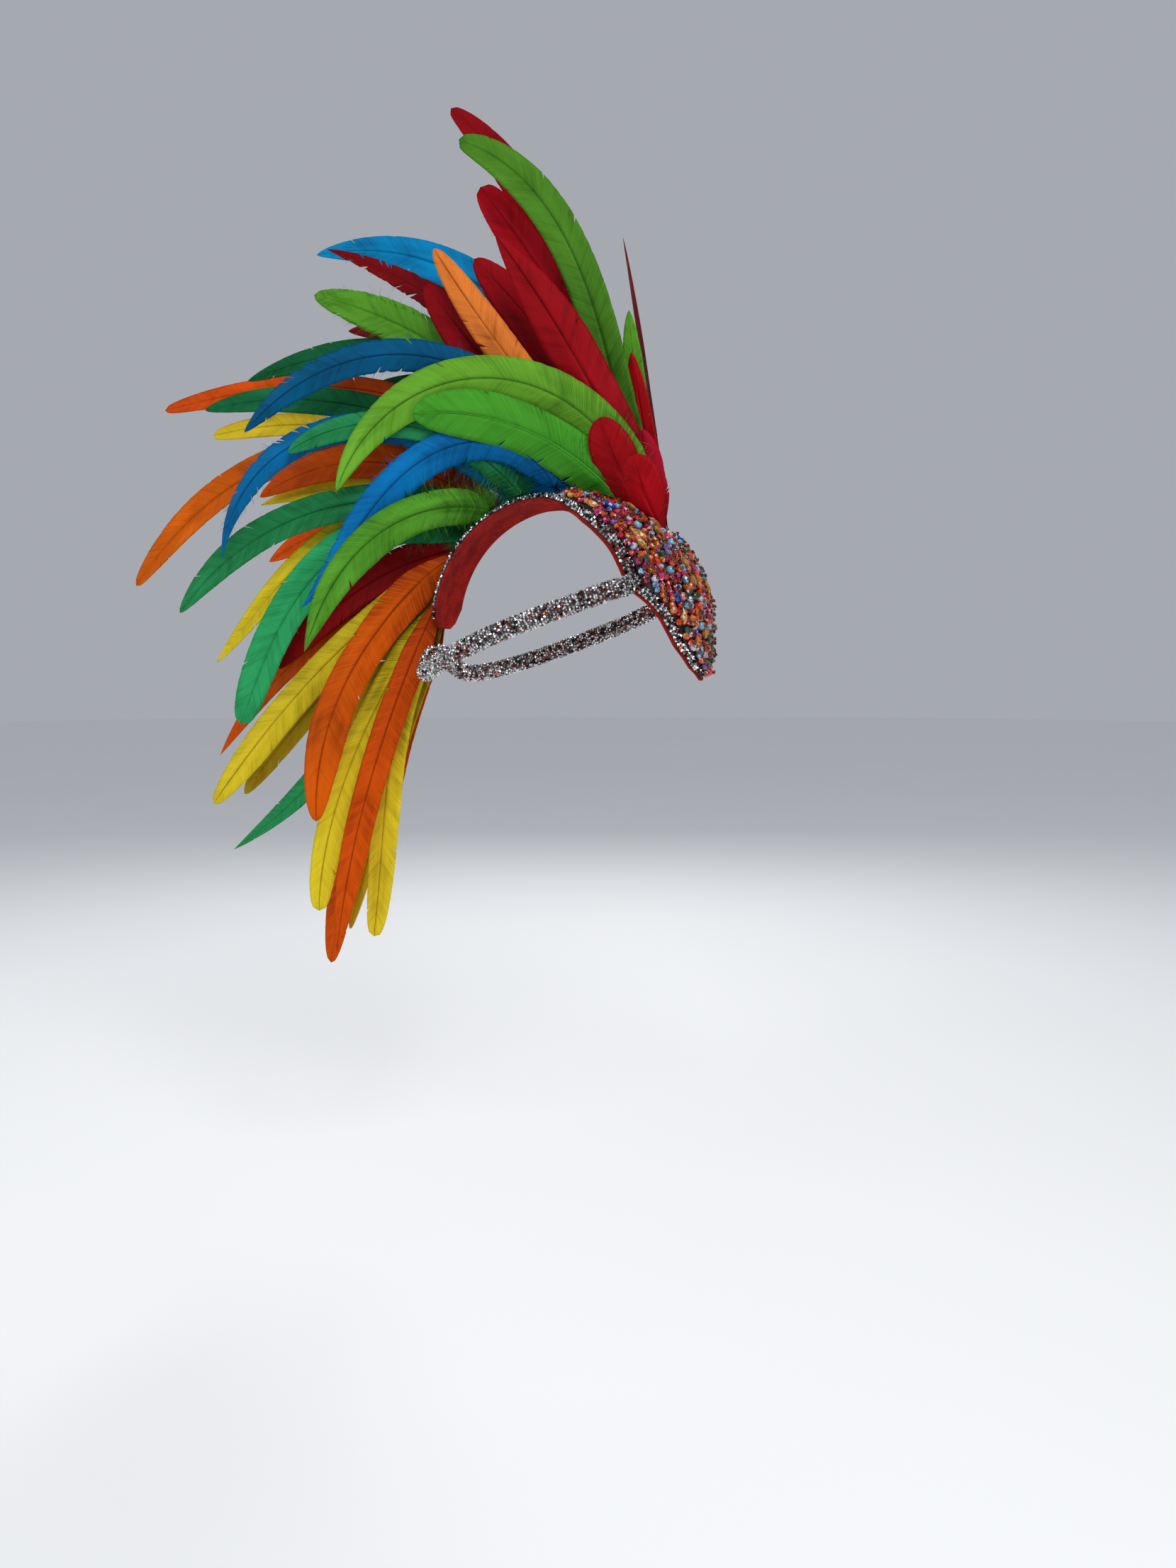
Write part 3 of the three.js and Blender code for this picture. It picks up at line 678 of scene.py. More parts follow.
class NodeBench:
    """Adds and links the nodes of one shader tree."""

    def __init__(self, tree):
        self.tree = tree

    def add(self, kind, settings=None, **inputs):
        node = self.tree.nodes.new(kind)
        for key, value in (settings or {}).items():
            setattr(node, key, value)
        for key, value in inputs.items():
            self.feed(node.inputs[key.replace("_", " ")], value)
        return node

    def feed(self, socket, value):
        if isinstance(value, bpy.types.NodeSocket):
            self.tree.links.new(value, socket)
        else:
            socket.default_value = value

    def math(self, operation, *values):
        node = self.add("ShaderNodeMath", {"operation": operation})
        for socket, value in zip(node.inputs, values):
            self.feed(socket, value)
        return node.outputs["Value"]

    def ramp(self, value, low, high):
        """A smooth step from 0 at low to 1 at high."""
        node = self.add("ShaderNodeMapRange", {"interpolation_type": "SMOOTHSTEP"})
        for name, amount in (("Value", value), ("From Min", low), ("From Max", high)):
            self.feed(node.inputs[name], amount)
        return node.outputs["Result"]

    def mix(self, factor, first, second):
        node = self.add("ShaderNodeMix", {"data_type": "RGBA"})
        for index, value in ((0, factor), (6, first), (7, second)):
            self.feed(node.inputs[index], value)
        return node.outputs[2]

    def noise(self, vector, scale, detail=2.0):
        node = self.add("ShaderNodeTexNoise", Vector=vector, Scale=scale, Detail=detail)
        return node.outputs["Fac"]

    def streaks(self, vector, along, across, detail=2.0):
        """Noise with its own number of waves along and across."""
        node = self.add("ShaderNodeMapping", Vector=vector, Scale=(along, across, 1))
        return self.noise(node.outputs["Vector"], 1, detail)

    def weighted(self, weights, **masks):
        """The sum of masks, each times the weight of its name."""
        parts = [self.math("MULTIPLY", mask, weights[name]) for name, mask in masks.items()]
        total = parts[0]
        for part in parts[1:]:
            total = self.math("ADD", total, part)
        return total

    def place(self):
        return self.add("ShaderNodeTexCoord").outputs["Object"]

    def stored(self, name):
        """A colour that is stored on the mesh."""
        return self.add("ShaderNodeAttribute", {"attribute_name": name}).outputs["Color"]

    def parts(self, colour):
        return self.add("ShaderNodeSeparateColor", Color=colour).outputs

    def relief(self, shader, height, strength, depth):
        """Shades a surface by a height, up to a depth in millimetres."""
        node = self.add("ShaderNodeBump", Height=height, Strength=strength, Distance=depth * MM)
        self.feed(shader.inputs["Normal"], node.outputs["Normal"])


def pick_tints(table, count, rng):
    """Tints drawn from a table by its shares, each a little lighter or darker."""
    tints = np.array([linear(*row[1:4]) for row in table])
    shares = np.array([row[4] for row in table])
    return tints[rng.choice(len(table), size=count, p=shares)] * rng.uniform(*TINT_SPREAD, (count, 1))


def new_group(name, inputs, outputs):
    """An empty node group with its sockets, its bench, its inputs and its outputs."""
    tree = bpy.data.node_groups.new(name, "ShaderNodeTree")
    for socket_name, kind in inputs:
        tree.interface.new_socket(name=socket_name, in_out="INPUT", socket_type=kind)
    for socket_name, kind in outputs:
        tree.interface.new_socket(name=socket_name, in_out="OUTPUT", socket_type=kind)
    bench = NodeBench(tree)
    return tree, bench, bench.add("NodeGroupInput").outputs, bench.add("NodeGroupOutput").inputs


def new_material(name):
    """A material with its bench and its surface shader."""
    material = bpy.data.materials.new(name)
    material.use_nodes = True
    tree = material.node_tree
    return material, NodeBench(tree), tree.nodes["Principled BSDF"]


def group_node(bench, tree, **inputs):
    node = bench.add("ShaderNodeGroup", {"node_tree": tree})
    for key, value in inputs.items():
        bench.feed(node.inputs[key], value)
    return node.outputs


def barb_group():
    """Streaks, mottling, painted sheen and shade, and the shaft's line of a dyed feather."""
    colours = [(name, "NodeSocketColor") for name in ("Dye", "Shade", "Light")]
    results = [("Colour", "NodeSocketColor"), ("Height", "NodeSocketFloat"), ("Roughness", "NodeSocketFloat")]
    tree, bench, given, result = new_group("Feather barbs", colours, results)
    barbs = bench.add("ShaderNodeUVMap", {"uv_map": "barbs"}).outputs["UV"]
    zone = bench.parts(bench.stored("zone"))
    reach, across, part = zone["Red"], zone["Green"], zone["Blue"]
    tone = bench.parts(bench.stored("tone"))
    strands = bench.streaks(barbs, 9, 0.35, 4)
    clumps = bench.streaks(barbs, 1.6, 0.5)
    mottle = bench.streaks(barbs, 0.3, 1.1)
    # Broad patches of painted sheen and painted shade.
    folds = bench.streaks(barbs, 0.16, 0.9)
    dark = bench.weighted(
        BARB_DARK_AND_SHADE,
        clumps=bench.ramp(clumps, 0.4, 0.75),
        mottle=bench.ramp(mottle, 0.4, 0.8),
        folds=bench.ramp(folds, 0.48, 0.2),
        parting=bench.ramp(bench.streaks(barbs, 4.5, 0.3), 0.66, 0.74),
        shaft=bench.math("POWER", bench.math("SUBTRACT", 1, across), 18),
        # Painted shade: darker towards the root, where the crowded feathers shade each other.
        root=bench.math("POWER", bench.math("SUBTRACT", 1, reach), 2.6),
    )
    colour = bench.mix(bench.math("MINIMUM", dark, 1), given["Dye"], given["Shade"])
    # Lighter barb strands, a lighter tip and outer edge, and broad patches of painted sheen.
    bright = bench.weighted(
        BARB_PALE_AND_SHEEN,
        strands=bench.ramp(strands, 0.4, 0.75),
        folds=bench.ramp(folds, 0.5, 0.75),
        tip=bench.math("MULTIPLY", reach, across),
    )
    colour = bench.mix(bright, colour, given["Light"])
    shaft = bench.math("MULTIPLY", bench.ramp(part, 0.7, 0.9), 0.75)
    shaft_colour = bench.mix(tone["Blue"], given["Shade"], given["Light"])
    colour = bench.mix(shaft, colour, shaft_colour)
    dyed = bench.add("ShaderNodeHueSaturation", Hue=tone["Green"], Value=tone["Red"], Color=colour)
    bench.feed(result["Colour"], dyed.outputs["Color"])
    ridge = bench.math("MULTIPLY", bench.math("SUBTRACT", 1, across), VANE["ridge"])
    bench.feed(result["Height"], bench.math("ADD", strands, ridge))
    bench.feed(result["Roughness"], bench.math("MULTIPLY_ADD", strands, -0.2, 0.68))
    return tree


def feather_material(dye, colour, barbs):
    """One dye's feather: fine matt barbs."""
    material, bench, shader = new_material(f"feather {dye}")
    base = np.array(colour)
    shade = tuple(base ** DYE_SHADE["power"] * DYE_SHADE["share"])
    # A white veil of painted sheen on the paler colour.
    painted_sheen = DYE_PALE_AND_SHEEN["painted_sheen"] * np.sqrt(base / base.max())
    light = tuple(np.minimum(1, base * DYE_PALE_AND_SHEEN["share"] + painted_sheen))
    outputs = group_node(bench, barbs, Dye=(*colour, 1), Shade=(*shade, 1), Light=(*light, 1))
    bench.feed(shader.inputs["Base Color"], outputs["Colour"])
    bench.feed(shader.inputs["Roughness"], outputs["Roughness"])
    bench.relief(shader, outputs["Height"], 0.35, 0.3)
    shader.inputs["Specular IOR Level"].default_value = 0.07
    return material


def felt_material(colour):
    """Pressed wool felt: matt, with matted fibres."""
    material, bench, shader = new_material("red felt")
    fibres = bench.noise(bench.place(), 1400, 4)
    patches = bench.noise(bench.place(), 90, 3)
    deep = tuple(np.array(colour) * 0.5)
    pale = tuple(np.minimum(1, np.array(colour) * 1.35 + 0.02))
    tone = bench.mix(bench.ramp(patches, 0.3, 0.7), (*deep, 1), (*colour, 1))
    tone = bench.mix(bench.math("MULTIPLY", bench.ramp(fibres, 0.5, 0.7), 0.6), tone, (*pale, 1))
    bench.feed(shader.inputs["Base Color"], tone)
    bench.relief(shader, fibres, 0.7, 0.5)
    shader.inputs["Roughness"].default_value = 0.92
    shader.inputs["Specular IOR Level"].default_value = 0.1
    return material


def tinted_material(name, roughness, grain, **sockets):
    """A bead or chip whose colour, with any painted reflections and glints, is stored on its facets, a little
    uneven over its surface.
    """
    material, bench, shader = new_material(name)
    tint = bench.stored("tint")
    uneven = bench.noise(bench.place(), 900)
    darker = bench.add("ShaderNodeHueSaturation", Color=tint, Value=1 - grain).outputs["Color"]
    bench.feed(shader.inputs["Base Color"], bench.mix(bench.ramp(uneven, 0.35, 0.65), darker, tint))
    worn = bench.math("MULTIPLY_ADD", uneven, roughness, roughness * 0.5)
    bench.feed(shader.inputs["Roughness"], worn)
    for key, value in sockets.items():
        shader.inputs[key.replace("_", " ")].default_value = value
    return material


def ribbon_material():
    """Dark ribbon under the chips."""
    material, bench, shader = new_material("dark ribbon")
    weave = bench.noise(bench.place(), 2200)
    bench.feed(shader.inputs["Base Color"], bench.mix(weave, (0.012, 0.008, 0.01, 1), (0.07, 0.02, 0.025, 1)))
    bench.relief(shader, weave, 0.5, 0.3)
    shader.inputs["Roughness"].default_value = 0.7
    return material


# Feathers


def head_radius(y, z):
    """Distance of a point from the middle of the head, 1 on the head form."""
    reach = np.where(y < HEAD["centre_y"], HEAD["front"], HEAD["back"])
    along = (y - HEAD["centre_y"]) / reach
    up = (z - HEAD["centre_z"]) / HEAD["height"]
    return np.where(up > 0, np.hypot(along, up), np.abs(along))


def crest_height(y, z):
    """Height of a point above the bed, which sets how far its layer leans out."""
    hang = np.maximum(0, HEAD["centre_z"] - z) * LAYER["hang_share"]
    return np.maximum(0, (head_radius(y, z) - 1) * LAYER["height_scale"]) + hang


def above_bed(points):
    """Points with those below the bed moved straight out from the middle of the head to its surface."""
    x, y, z = np.moveaxis(points, -1, 0)
    push = np.maximum(1, BED_CLEARANCE / np.maximum(head_radius(y, z), 0.1))
    away_y, away_z = y - HEAD["centre_y"], z - HEAD["centre_z"]
    lifted_z = np.where(away_z > 0, HEAD["centre_z"] + away_z * push, z)
    return np.stack([x, HEAD["centre_y"] + away_y * push, lifted_z], axis=-1)


class Blade:
    """Maps places on one feather, by share of its length and distance from its shaft, into space."""

    STEPS = 120

    def __init__(self, row, curl, spread):
        self.row = row
        self.curl = curl
        self.spread = spread
        self.offset = row["layer"] - LAYER["middle"]
        share = np.linspace(0, 1, self.STEPS + 1)
        self.share = share
        sway = row["sway"] * 4 * share * (1 - share)
        self.turn = np.radians(row["rise"] + row["bend"] * share + sway)
        middle = (self.turn[1:] + self.turn[:-1]) / 2
        step = row["length"] / self.STEPS
        foot = head_point(row["root"], 0, FELT + FEATHER["root_lift"])
        self.y = foot[1] + np.concatenate([[0], np.cumsum(np.sin(middle) * step)])
        self.z = foot[2] + np.concatenate([[0], np.cumsum(np.cos(middle) * step)])

    def half_width(self, share):
        row = self.row
        taper = 0.5 + 0.6 * row["tip"]
        past = np.clip((share - taper) / (1 - taper), 0, 1)
        spread = ease(*self.spread, share)
        return row["width"] / 2 * spread * (1 - past**2) ** (1 - 1.6 * row["tip"])

    def spine(self, share):
        """Turn of the shaft, and its place in the plane of the crest."""
        return (np.interp(share, self.share, values) for values in (self.turn, self.y, self.z))

    def trimmed(self, share, out):
        """Distances from the shaft, cut back where the vane would go into the bed."""
        turn, y, z = self.spine(share)
        kept = np.zeros_like(out)
        for part in np.linspace(0.1, 1, 10):
            flat = part * out * math.cos(math.radians(self.row["twist"]))
            clear = head_radius(y + flat * np.cos(turn), z - flat * np.sin(turn)) > BED_CLEARANCE
            kept = np.where(clear, part * out, kept)
        return kept

    def cup(self, half):
        """How far the shaft stands out of the plane of the edges."""
        return (-1 if self.offset < 0 else 1) * FEATHER["cup"] * half

    def point(self, share, out, lift):
        share = np.clip(share, 0, 1)
        turn, y, z = self.spine(share)
        twist = np.radians(self.row["twist"] + self.curl * share**2)
        flat = out * np.cos(twist)
        y = y + flat * np.cos(turn)
        z = z - flat * np.sin(turn)
        lean = math.tan(math.radians(self.offset * LAYER["lean"])) * crest_height(y, z)
        return np.stack([self.offset * LAYER["pitch"] + lean + lift + out * np.sin(twist), y, z], axis=-1)


def barb_slant(share):
    """Angle in radians between the shaft and the barbs."""
    return np.radians(BARB_SLANT["root"] + (BARB_SLANT["tip"] - BARB_SLANT["root"]) * share)


def closed_tube(radius, along):
    """Radii of a tube that closes to a point at both ends."""
    return np.where((along < 1e-6) | (along > 1 - 1e-6), 0, radius)


def vane_sheet(blade, rng, hand, settings, wear):
    """One half of a feather's vane: a thin slab of barbs, parted in a few places, with uneven ends."""
    rows, columns = settings.barb_rows, settings.barb_columns
    length = blade.row["length"]
    count = rng.integers(*wear["cuts"])
    cuts = np.sort(rng.choice(np.arange(rows // 5, rows - 6), size=count, replace=False))
    cut_from = rng.uniform(*wear["cut_from"])
    flat, faces, middle = grid_sheet(columns, rows, cuts, cut_from, walled=True)
    across, level, side = flat.T
    borders = np.concatenate([[0], cuts / rows, [1]])
    part = np.searchsorted(cuts / rows, middle)
    loose = ease(cut_from, 1, across)
    gaps = np.concatenate([[0], rng.uniform(*VANE["gap"], count) * wear["gap"], [0]])
    lips = np.concatenate([[0], rng.normal(0, wear["lip"], count), [0]])
    below = np.exp((borders[part] - level) * length / PART_REACH)
    above = np.exp((level - borders[part + 1]) * length / PART_REACH)
    pull = gaps[part] * below - gaps[part + 1] * above
    end_share = VANE["first"] + (1 - VANE["first"]) * level
    waver = np.sin(end_share * VANE_WAVES["waver_rate"] + rng.uniform(0, 6))
    half = blade.half_width(end_share) * (1 + VANE_WAVES["waver"] * waver)
    root_share = np.maximum(VANE["least"], end_share - half / np.tan(barb_slant(end_share)) / length)
    share = root_share + (end_share - root_share) * across ** VANE["sweep"] + pull * loose / length
    ends = 1 - np.abs(rng.normal(0, wear["nick"], rows + 1))
    row_end = ends[np.clip(np.round(level * rows).astype(int), 0, rows)]
    reach = across * np.where(across > 0.99, row_end, 1)
    ripple = np.sin(share * VANE_WAVES["ripple_rate"] + hand + blade.row["root"])
    ripple = VANE_WAVES["ripple"] * ripple * across
    lift = blade.cup(half) * (1 - across ** FEATHER["roof"]) + ripple + lips[part] * below * loose
    lift = lift + VANE["thickness"] * (side - 0.5)
    spots = blade.point(share, blade.trimmed(share, hand * half * reach), lift)
    uv = np.stack([root_share * length / BARB_UNIT, across], axis=-1)
    zone = np.stack([end_share, across, np.zeros_like(across)], axis=-1)
    return spots, faces if hand > 0 else faces[:, ::-1], uv, zone


def shaft_sheet(blade):
    """The quill and the shaft as a tube that thins to the tip."""
    flat, faces, _ = grid_sheet(*GRIDS["shaft"])
    angle, share = flat[:, 0] * 2 * np.pi, flat[:, 1]
    radius = FEATHER["quill"] + (FEATHER["shaft_tip"] - FEATHER["quill"]) * share**0.6
    radius = closed_tube(radius, share)
    lift = blade.cup(blade.half_width(share)) + radius * np.sin(angle)
    spots = blade.point(share, radius * np.cos(angle), lift)
    uv = np.stack([share * blade.row["length"] / BARB_UNIT, flat[:, 0]], axis=-1)
    zone = np.stack([share, np.zeros_like(share), np.ones_like(share)], axis=-1)
    return spots, faces, uv, zone


def strand_sheets(blade, rng, root, start, length, angle, lift, curl):
    """Loose fine strands: each leaves a place by the shaft at an angle to it, waves and tapers to a point."""
    flat, faces, _ = grid_sheet(*GRIDS["strand"])
    along, turn = flat[:, 1], flat[:, 0] * 2 * np.pi
    count = len(root)
    columns = (root, start, length, angle, lift)
    root, start, length, angle, lift = (np.reshape(column, (-1, 1)) for column in columns)
    wave = rng.uniform(0, 6, (count, 1))
    curl = rng.normal(0, curl, (count, 1))
    radius = closed_tube(STRAND["radius"] * (1.1 - 0.8 * along), along)
    way = np.sign(start)
    bend = angle + curl * along
    out = start + way * length * np.sin(bend) * along + STRAND["wave"] * np.sin(wave + 5 * along) * along
    ahead = length * np.cos(bend) * along + STRAND["wave"] * np.cos(wave + 4 * along) * along
    share = np.clip(root + (ahead + radius * np.cos(turn)) / blade.row["length"], STRAND["least"], 1)
    spots = above_bed(blade.point(share, out, lift * along**1.5 + radius * np.sin(turn)))
    offsets = np.arange(count)[:, None, None] * len(flat)
    tone = np.broadcast_to(root * blade.row["length"] / BARB_UNIT + wave, out.shape)
    uv = np.stack([tone, np.broadcast_to(along, out.shape)], axis=-1)
    across, part = (np.full_like(share, STRAND[name]) for name in ("across", "part"))
    # The least reach keeps the painted root shade on the strands short of its darkest.
    zone = np.stack([np.maximum(share, STRAND["reach"]), across, part], axis=-1)
    all_faces = (faces[None] + offsets).reshape(-1, faces.shape[1])
    return spots.reshape(-1, 3), all_faces, uv.reshape(-1, 2), zone.reshape(-1, 3)


def down_sheets(blade, rng, count):
    """The downy barbs near a feather's root."""
    span = min(DOWN_GROWTH["most"], DOWN["span"] / blade.row["length"])
    depth = rng.random(count) ** DOWN_GROWTH["crowding"]
    growth = DOWN_GROWTH["shortest"] + DOWN_GROWTH["more"] * depth
    length = rng.uniform(*DOWN["length"], count) * growth
    angle = np.radians(rng.uniform(*DOWN["angle"], count))
    start = rng.choice([-1.0, 1.0], size=count) * DOWN["start"]
    lift = rng.normal(0, DOWN["lift"], count)
    root = DOWN_GROWTH["first"] + depth * span
    return strand_sheets(blade, rng, root, start, length, angle, lift, STRAND_CURL["down"])


def tuft_sheets(blade, rng, count):
    """A fan of soft barbs at the foot of the quill, which hides the bed."""
    root = rng.uniform(0, TUFT["span"], count) / blade.row["length"]
    start = rng.choice([-1.0, 1.0], size=count) * TUFT["start"]
    length = rng.uniform(*TUFT["length"], count)
    angle = np.radians(rng.uniform(*TUFT["angle"], count))
    lift = rng.normal(0, TUFT["lift"], count)
    return strand_sheets(blade, rng, root, start, length, angle, lift, STRAND_CURL["down"])


def edge_sheets(blade, rng, wear):
    """Single barbs that stand out past the edges of the vane."""
    count = wear["loose"]
    root = rng.uniform(*LOOSE["span"], count)
    half = blade.half_width(root)
    slant = barb_slant(root)
    start = rng.choice([-1.0, 1.0], size=count) * half * LOOSE["from"]
    length = half * (1 - LOOSE["from"]) / np.sin(slant) + rng.uniform(*wear["loose_length"], count)
    angle = slant + rng.normal(0, LOOSE["stray"], count)
    lift = rng.normal(0, LOOSE["lift"], count)
    return strand_sheets(blade, rng, root, start, length, angle, lift, STRAND_CURL["edge"])


def feather_mesh(name, number, row, settings):
    """A whole feather as one mesh: vanes, shaft, down and loose barbs, with barb coordinates and zones."""
    rng = np.random.default_rng(SEEDS["feathers"] + number)
    downy = number in DOWNY
    plain_spread = (VANE_SPREAD[0], max(VANE_SPREAD[1], LEAST_SPREAD / row["length"]))
    curl = rng.uniform(-FEATHER["curl"], FEATHER["curl"])
    blade = Blade(row, curl, DOWNY_SPREAD if downy else plain_spread)
    kind = "frayed" if number in FRAYED else "soft" if number in SOFT else "smooth"
    wear = dict(zip(WEAR_COLUMNS, WEAR_ROWS[kind]))
    down = settings.down_strands if downy else 0
    sheets = [vane_sheet(blade, rng, hand, settings, wear) for hand in (-1, 1)]
    sheets.append(shaft_sheet(blade))
    sheets.append(down_sheets(blade, rng, down))
    sheets.append(tuft_sheets(blade, rng, down if row["root"] >= TUFT["first_root"] else 0))
    sheets.append(edge_sheets(blade, rng, wear))
    verts, faces, uv, zone = joined(sheets)
    mesh = mesh_from(name, verts, faces)
    uv = uv + (number * BARB_SHIFT, 0)
    layer = mesh.uv_layers.new(name="barbs")
    layer.data.foreach_set("uv", uv[faces.ravel()].ravel())
    paint(mesh, "zone", zone)
    paint(mesh, "tone", np.tile(feather_tone(number, rng), (len(verts), 1)))
    merge_doubles(mesh)
    return mesh


def feather_tone(number, rng):
    """Brightness, hue and paleness of the shaft of one feather. A hue of 0.5 leaves its dye as it is."""
    tones = {row[0]: row[1:] for row in TONE_ROWS}
    brightness, shift = tones.get(number, (1, 0))
    brightness = brightness * (1 + rng.uniform(-1, 1) * TONE_SPREAD["brightness"])
    return brightness, 0.5 + shift + rng.uniform(-1, 1) * TONE_SPREAD["hue"], float(number in PALE_SHAFT)


# Operators, one for each piece or group of like pieces


class HEADDRESS_OT_felt_base(bpy.types.Operator):
    """Make the red felt base"""

    bl_idname = "headdress.felt_base"
    bl_label = "Felt Base"
    bl_options = {"REGISTER", "UNDO"}

    def execute(self, context):
        settings = context.scene.headdress_base
        flat, faces, _ = grid_sheet(*GRIDS["felt"])
        first, last = OUTLINE_STATIONS[0], OUTLINE_STATIONS[-1]
        station = first + (last - first) * flat[:, 1]
        side = (2 * flat[:, 0] - 1) * half_angle(station)
        mesh = mesh_from("felt_base_looks", head_point(station, side, 0), faces)
        add_wall(add_piece(mesh, [felt_material(settings.felt_colour)], ["felt_base"]), FELT, 1)
        return {"FINISHED"}


def trim_height(across):
    """Height of the domed trim over the head form, at a share of its width."""
    return FELT + GAP + TRIM_DOME["edge"] + TRIM_DOME["rise"] * (1 - (2 * across - 1) ** 2)


def trim_chips(hand, size, rng):
    """Places and frames of the chips on one edge trim, which leave the felt's rim bare."""
    stations = np.linspace(TRIM_FIRST, TRIM["back_end"], 400)
    places, frames = [], []
    for lane in range(TRIM_DOME["lanes"]):
        across = (lane + 0.5) / TRIM_DOME["lanes"]
        inset = FELT_RIM + TRIM_DOME["width"] * across
        path = head_point(stations, hand * in_from_edge(stations, inset), 0)
        run = run_along(path)
        first = TRIM_CHIPS["first"] + TRIM_CHIPS["stagger"] * (lane % 2)
        at = np.arange(size * first, run[-1], size * TRIM_CHIPS["step"])
        at = at + rng.normal(0, size * TRIM_CHIPS["jitter"], len(at))
        spot = np.interp(at, run, stations)
        height = trim_height(across) + TRIM_DOME["seat"]
        point, frame_at = head_frames(spot, hand * in_from_edge(spot, inset), height)
        keep = np.abs(point[:, 0]) > TRIM_CHIPS["clear"]
        places.append(point[keep])
        frames.append(frame_at[keep])
    return np.concatenate(places), np.concatenate(frames)


def chip_copies(places, frames, size, rng, sparkle):
    """Cut stones in mixed silver tones and painted reflections, each turned and tilted its own way."""
    groups = []
    kind = rng.integers(0, len(CHIP_SIDES), len(places))
    for index, sides in enumerate(CHIP_SIDES):
        here = kind == index
        tone = rng.choice(len(CHIP_TINTS), size=here.sum(), p=CHIP_SHARES)
        tints = np.array([linear(*tint) for tint in CHIP_TINTS])[tone]
        sizes = size * rng.uniform(*CHIP_SIZES, (here.sum(), 3))
        turns = turned(frames[here], TILT["chip"], rng)
        groups.append(copies(chip_shape(sides), places[here], turns, sizes, tints, rng, sparkle))
    return joined(groups)


def tinted_piece(name, group, material, nodes=(), smooth=False):
    verts, faces, tints = group
    mesh = mesh_from(name, verts, faces)
    paint(mesh, "tint", np.repeat(tints, 3, axis=0), "CORNER")
    return add_piece(mesh, [material], nodes, smooth)


class HEADDRESS_OT_edge_trim(bpy.types.Operator):
    """Make the crystal trim along both edges of the felt"""

    bl_idname = "headdress.edge_trim"
    bl_label = "Edge Trim"
    bl_options = {"REGISTER", "UNDO"}

    def execute(self, context):
        rng = np.random.default_rng(SEEDS["trim"])
        size = context.scene.headdress_base.chip_size / MM
        chip = crystal_chip_material()
        ribbon = ribbon_material()
        for hand, word in ((-1, "right"), (1, "left")):
            flat, faces, _ = grid_sheet(*GRIDS["trim"])
            station = TRIM_FIRST + (TRIM["back_end"] - TRIM_FIRST) * flat[:, 1]
            inner = in_from_edge(station, FELT_RIM + TRIM_DOME["width"])
            inner = np.maximum(TRIM_LEAST_ANGLES["inner"], inner)
            outer = np.maximum(in_from_edge(station, FELT_RIM), inner + TRIM_LEAST_ANGLES["width"])
            side = hand * (inner + (outer - inner) * flat[:, 0])
            mesh = mesh_from(f"trim_ribbon_{word}", head_point(station, side, trim_height(flat[:, 0])), faces)
            add_wall(add_piece(mesh, [ribbon], [f"edge_trim_{word}"]), TRIM_DOME["wall"], -hand)
            places, frames = trim_chips(hand, size, rng)
            # Chips with painted reflections on their facets.
            group = chip_copies(places, frames, size, rng, SPARKLE["trim"])
            tinted_piece(f"trim_chips_{word}", group, chip)
        return {"FINISHED"}


def crystal_chip_material():
    return bpy.data.materials.get("silver chips") or tinted_material(
        "silver chips", roughness=0.2, grain=0.35, Metallic=1.0, Specular_IOR_Level=0.6
    )


class HEADDRESS_OT_head_rope(bpy.types.Operator):
    """Make the crystal rope round the back of the head"""

    bl_idname = "headdress.head_rope"
    bl_label = "Head Rope"
    bl_options = {"REGISTER", "UNDO"}

    def execute(self, context):
        rng = np.random.default_rng(SEEDS["rope"])
        size = context.scene.headdress_base.rope_chip_size / MM
        core = ROPE["radius"] - ROPE_CHIPS["core"] * size
        path = sample_evenly(rope_path(), ROPE["step"])
        frames = path_frames(path)
        flat, faces, _ = grid_sheet(ROPE_SIDES, len(path) - 1)
        ring = np.round(flat[:, 1] * (len(path) - 1)).astype(int)
        local = closed_tube(core, flat[:, 1:2]) * circle(flat[:, 0] * 2 * np.pi)
        mesh = mesh_from("rope_core", path[ring] + np.einsum("nij,nj->ni", frames[ring], local), faces)
        merge_doubles(mesh)
        add_piece(mesh, [ribbon_material()], ["head_rope"])
        places, frames = rope_chips(size, rng)
        # Chips with painted reflections on their facets.
        group = chip_copies(places, frames, size, rng, SPARKLE["rope"])
        tinted_piece("rope_chips", group, crystal_chip_material())
        return {"FINISHED"}


def rope_chips(size, rng):
    """Places and frames of the chips round the rope and over its two ends."""
    path = sample_evenly(rope_path(), ROPE_CHIPS["along"] * size)
    along = path_frames(path)
    seat = ROPE["radius"] - ROPE_CHIPS["seat"] * size
    around = round(2 * math.pi * ROPE["radius"] / (ROPE_CHIPS["around"] * size))
    step = np.repeat(np.arange(len(path)), around)
    turn = np.tile(np.arange(around), len(path)) + 0.5 * (step % 2)
    turn = turn + rng.normal(0, ROPE_CHIPS["turn_jitter"], len(step))
    out = np.einsum("nij,nj->ni", along[step], circle(turn / around * 2 * np.pi))
    ahead = along[step][:, :, 2]
    places = [path[step] + out * seat + ahead * rng.normal(0, ROPE_CHIPS["jitter"], (len(step), 1))]
    frames = [np.stack([np.cross(ahead, out), ahead, out], axis=-1)]
    for end, way in ((0, -1), (-1, 1)):
        for ring in ROPE_END_RINGS:
            count = max(1, round(2 * math.pi * ring * ROPE["radius"] / size))
            flat = ring * seat * circle(np.arange(count) / count * 2 * np.pi)
            places.append(path[end] + flat @ along[end].T)
            cap = along[end] * (1, way, way)
            frames.append(np.repeat(cap[None], count, axis=0))
    return np.concatenate(places), np.concatenate(frames)


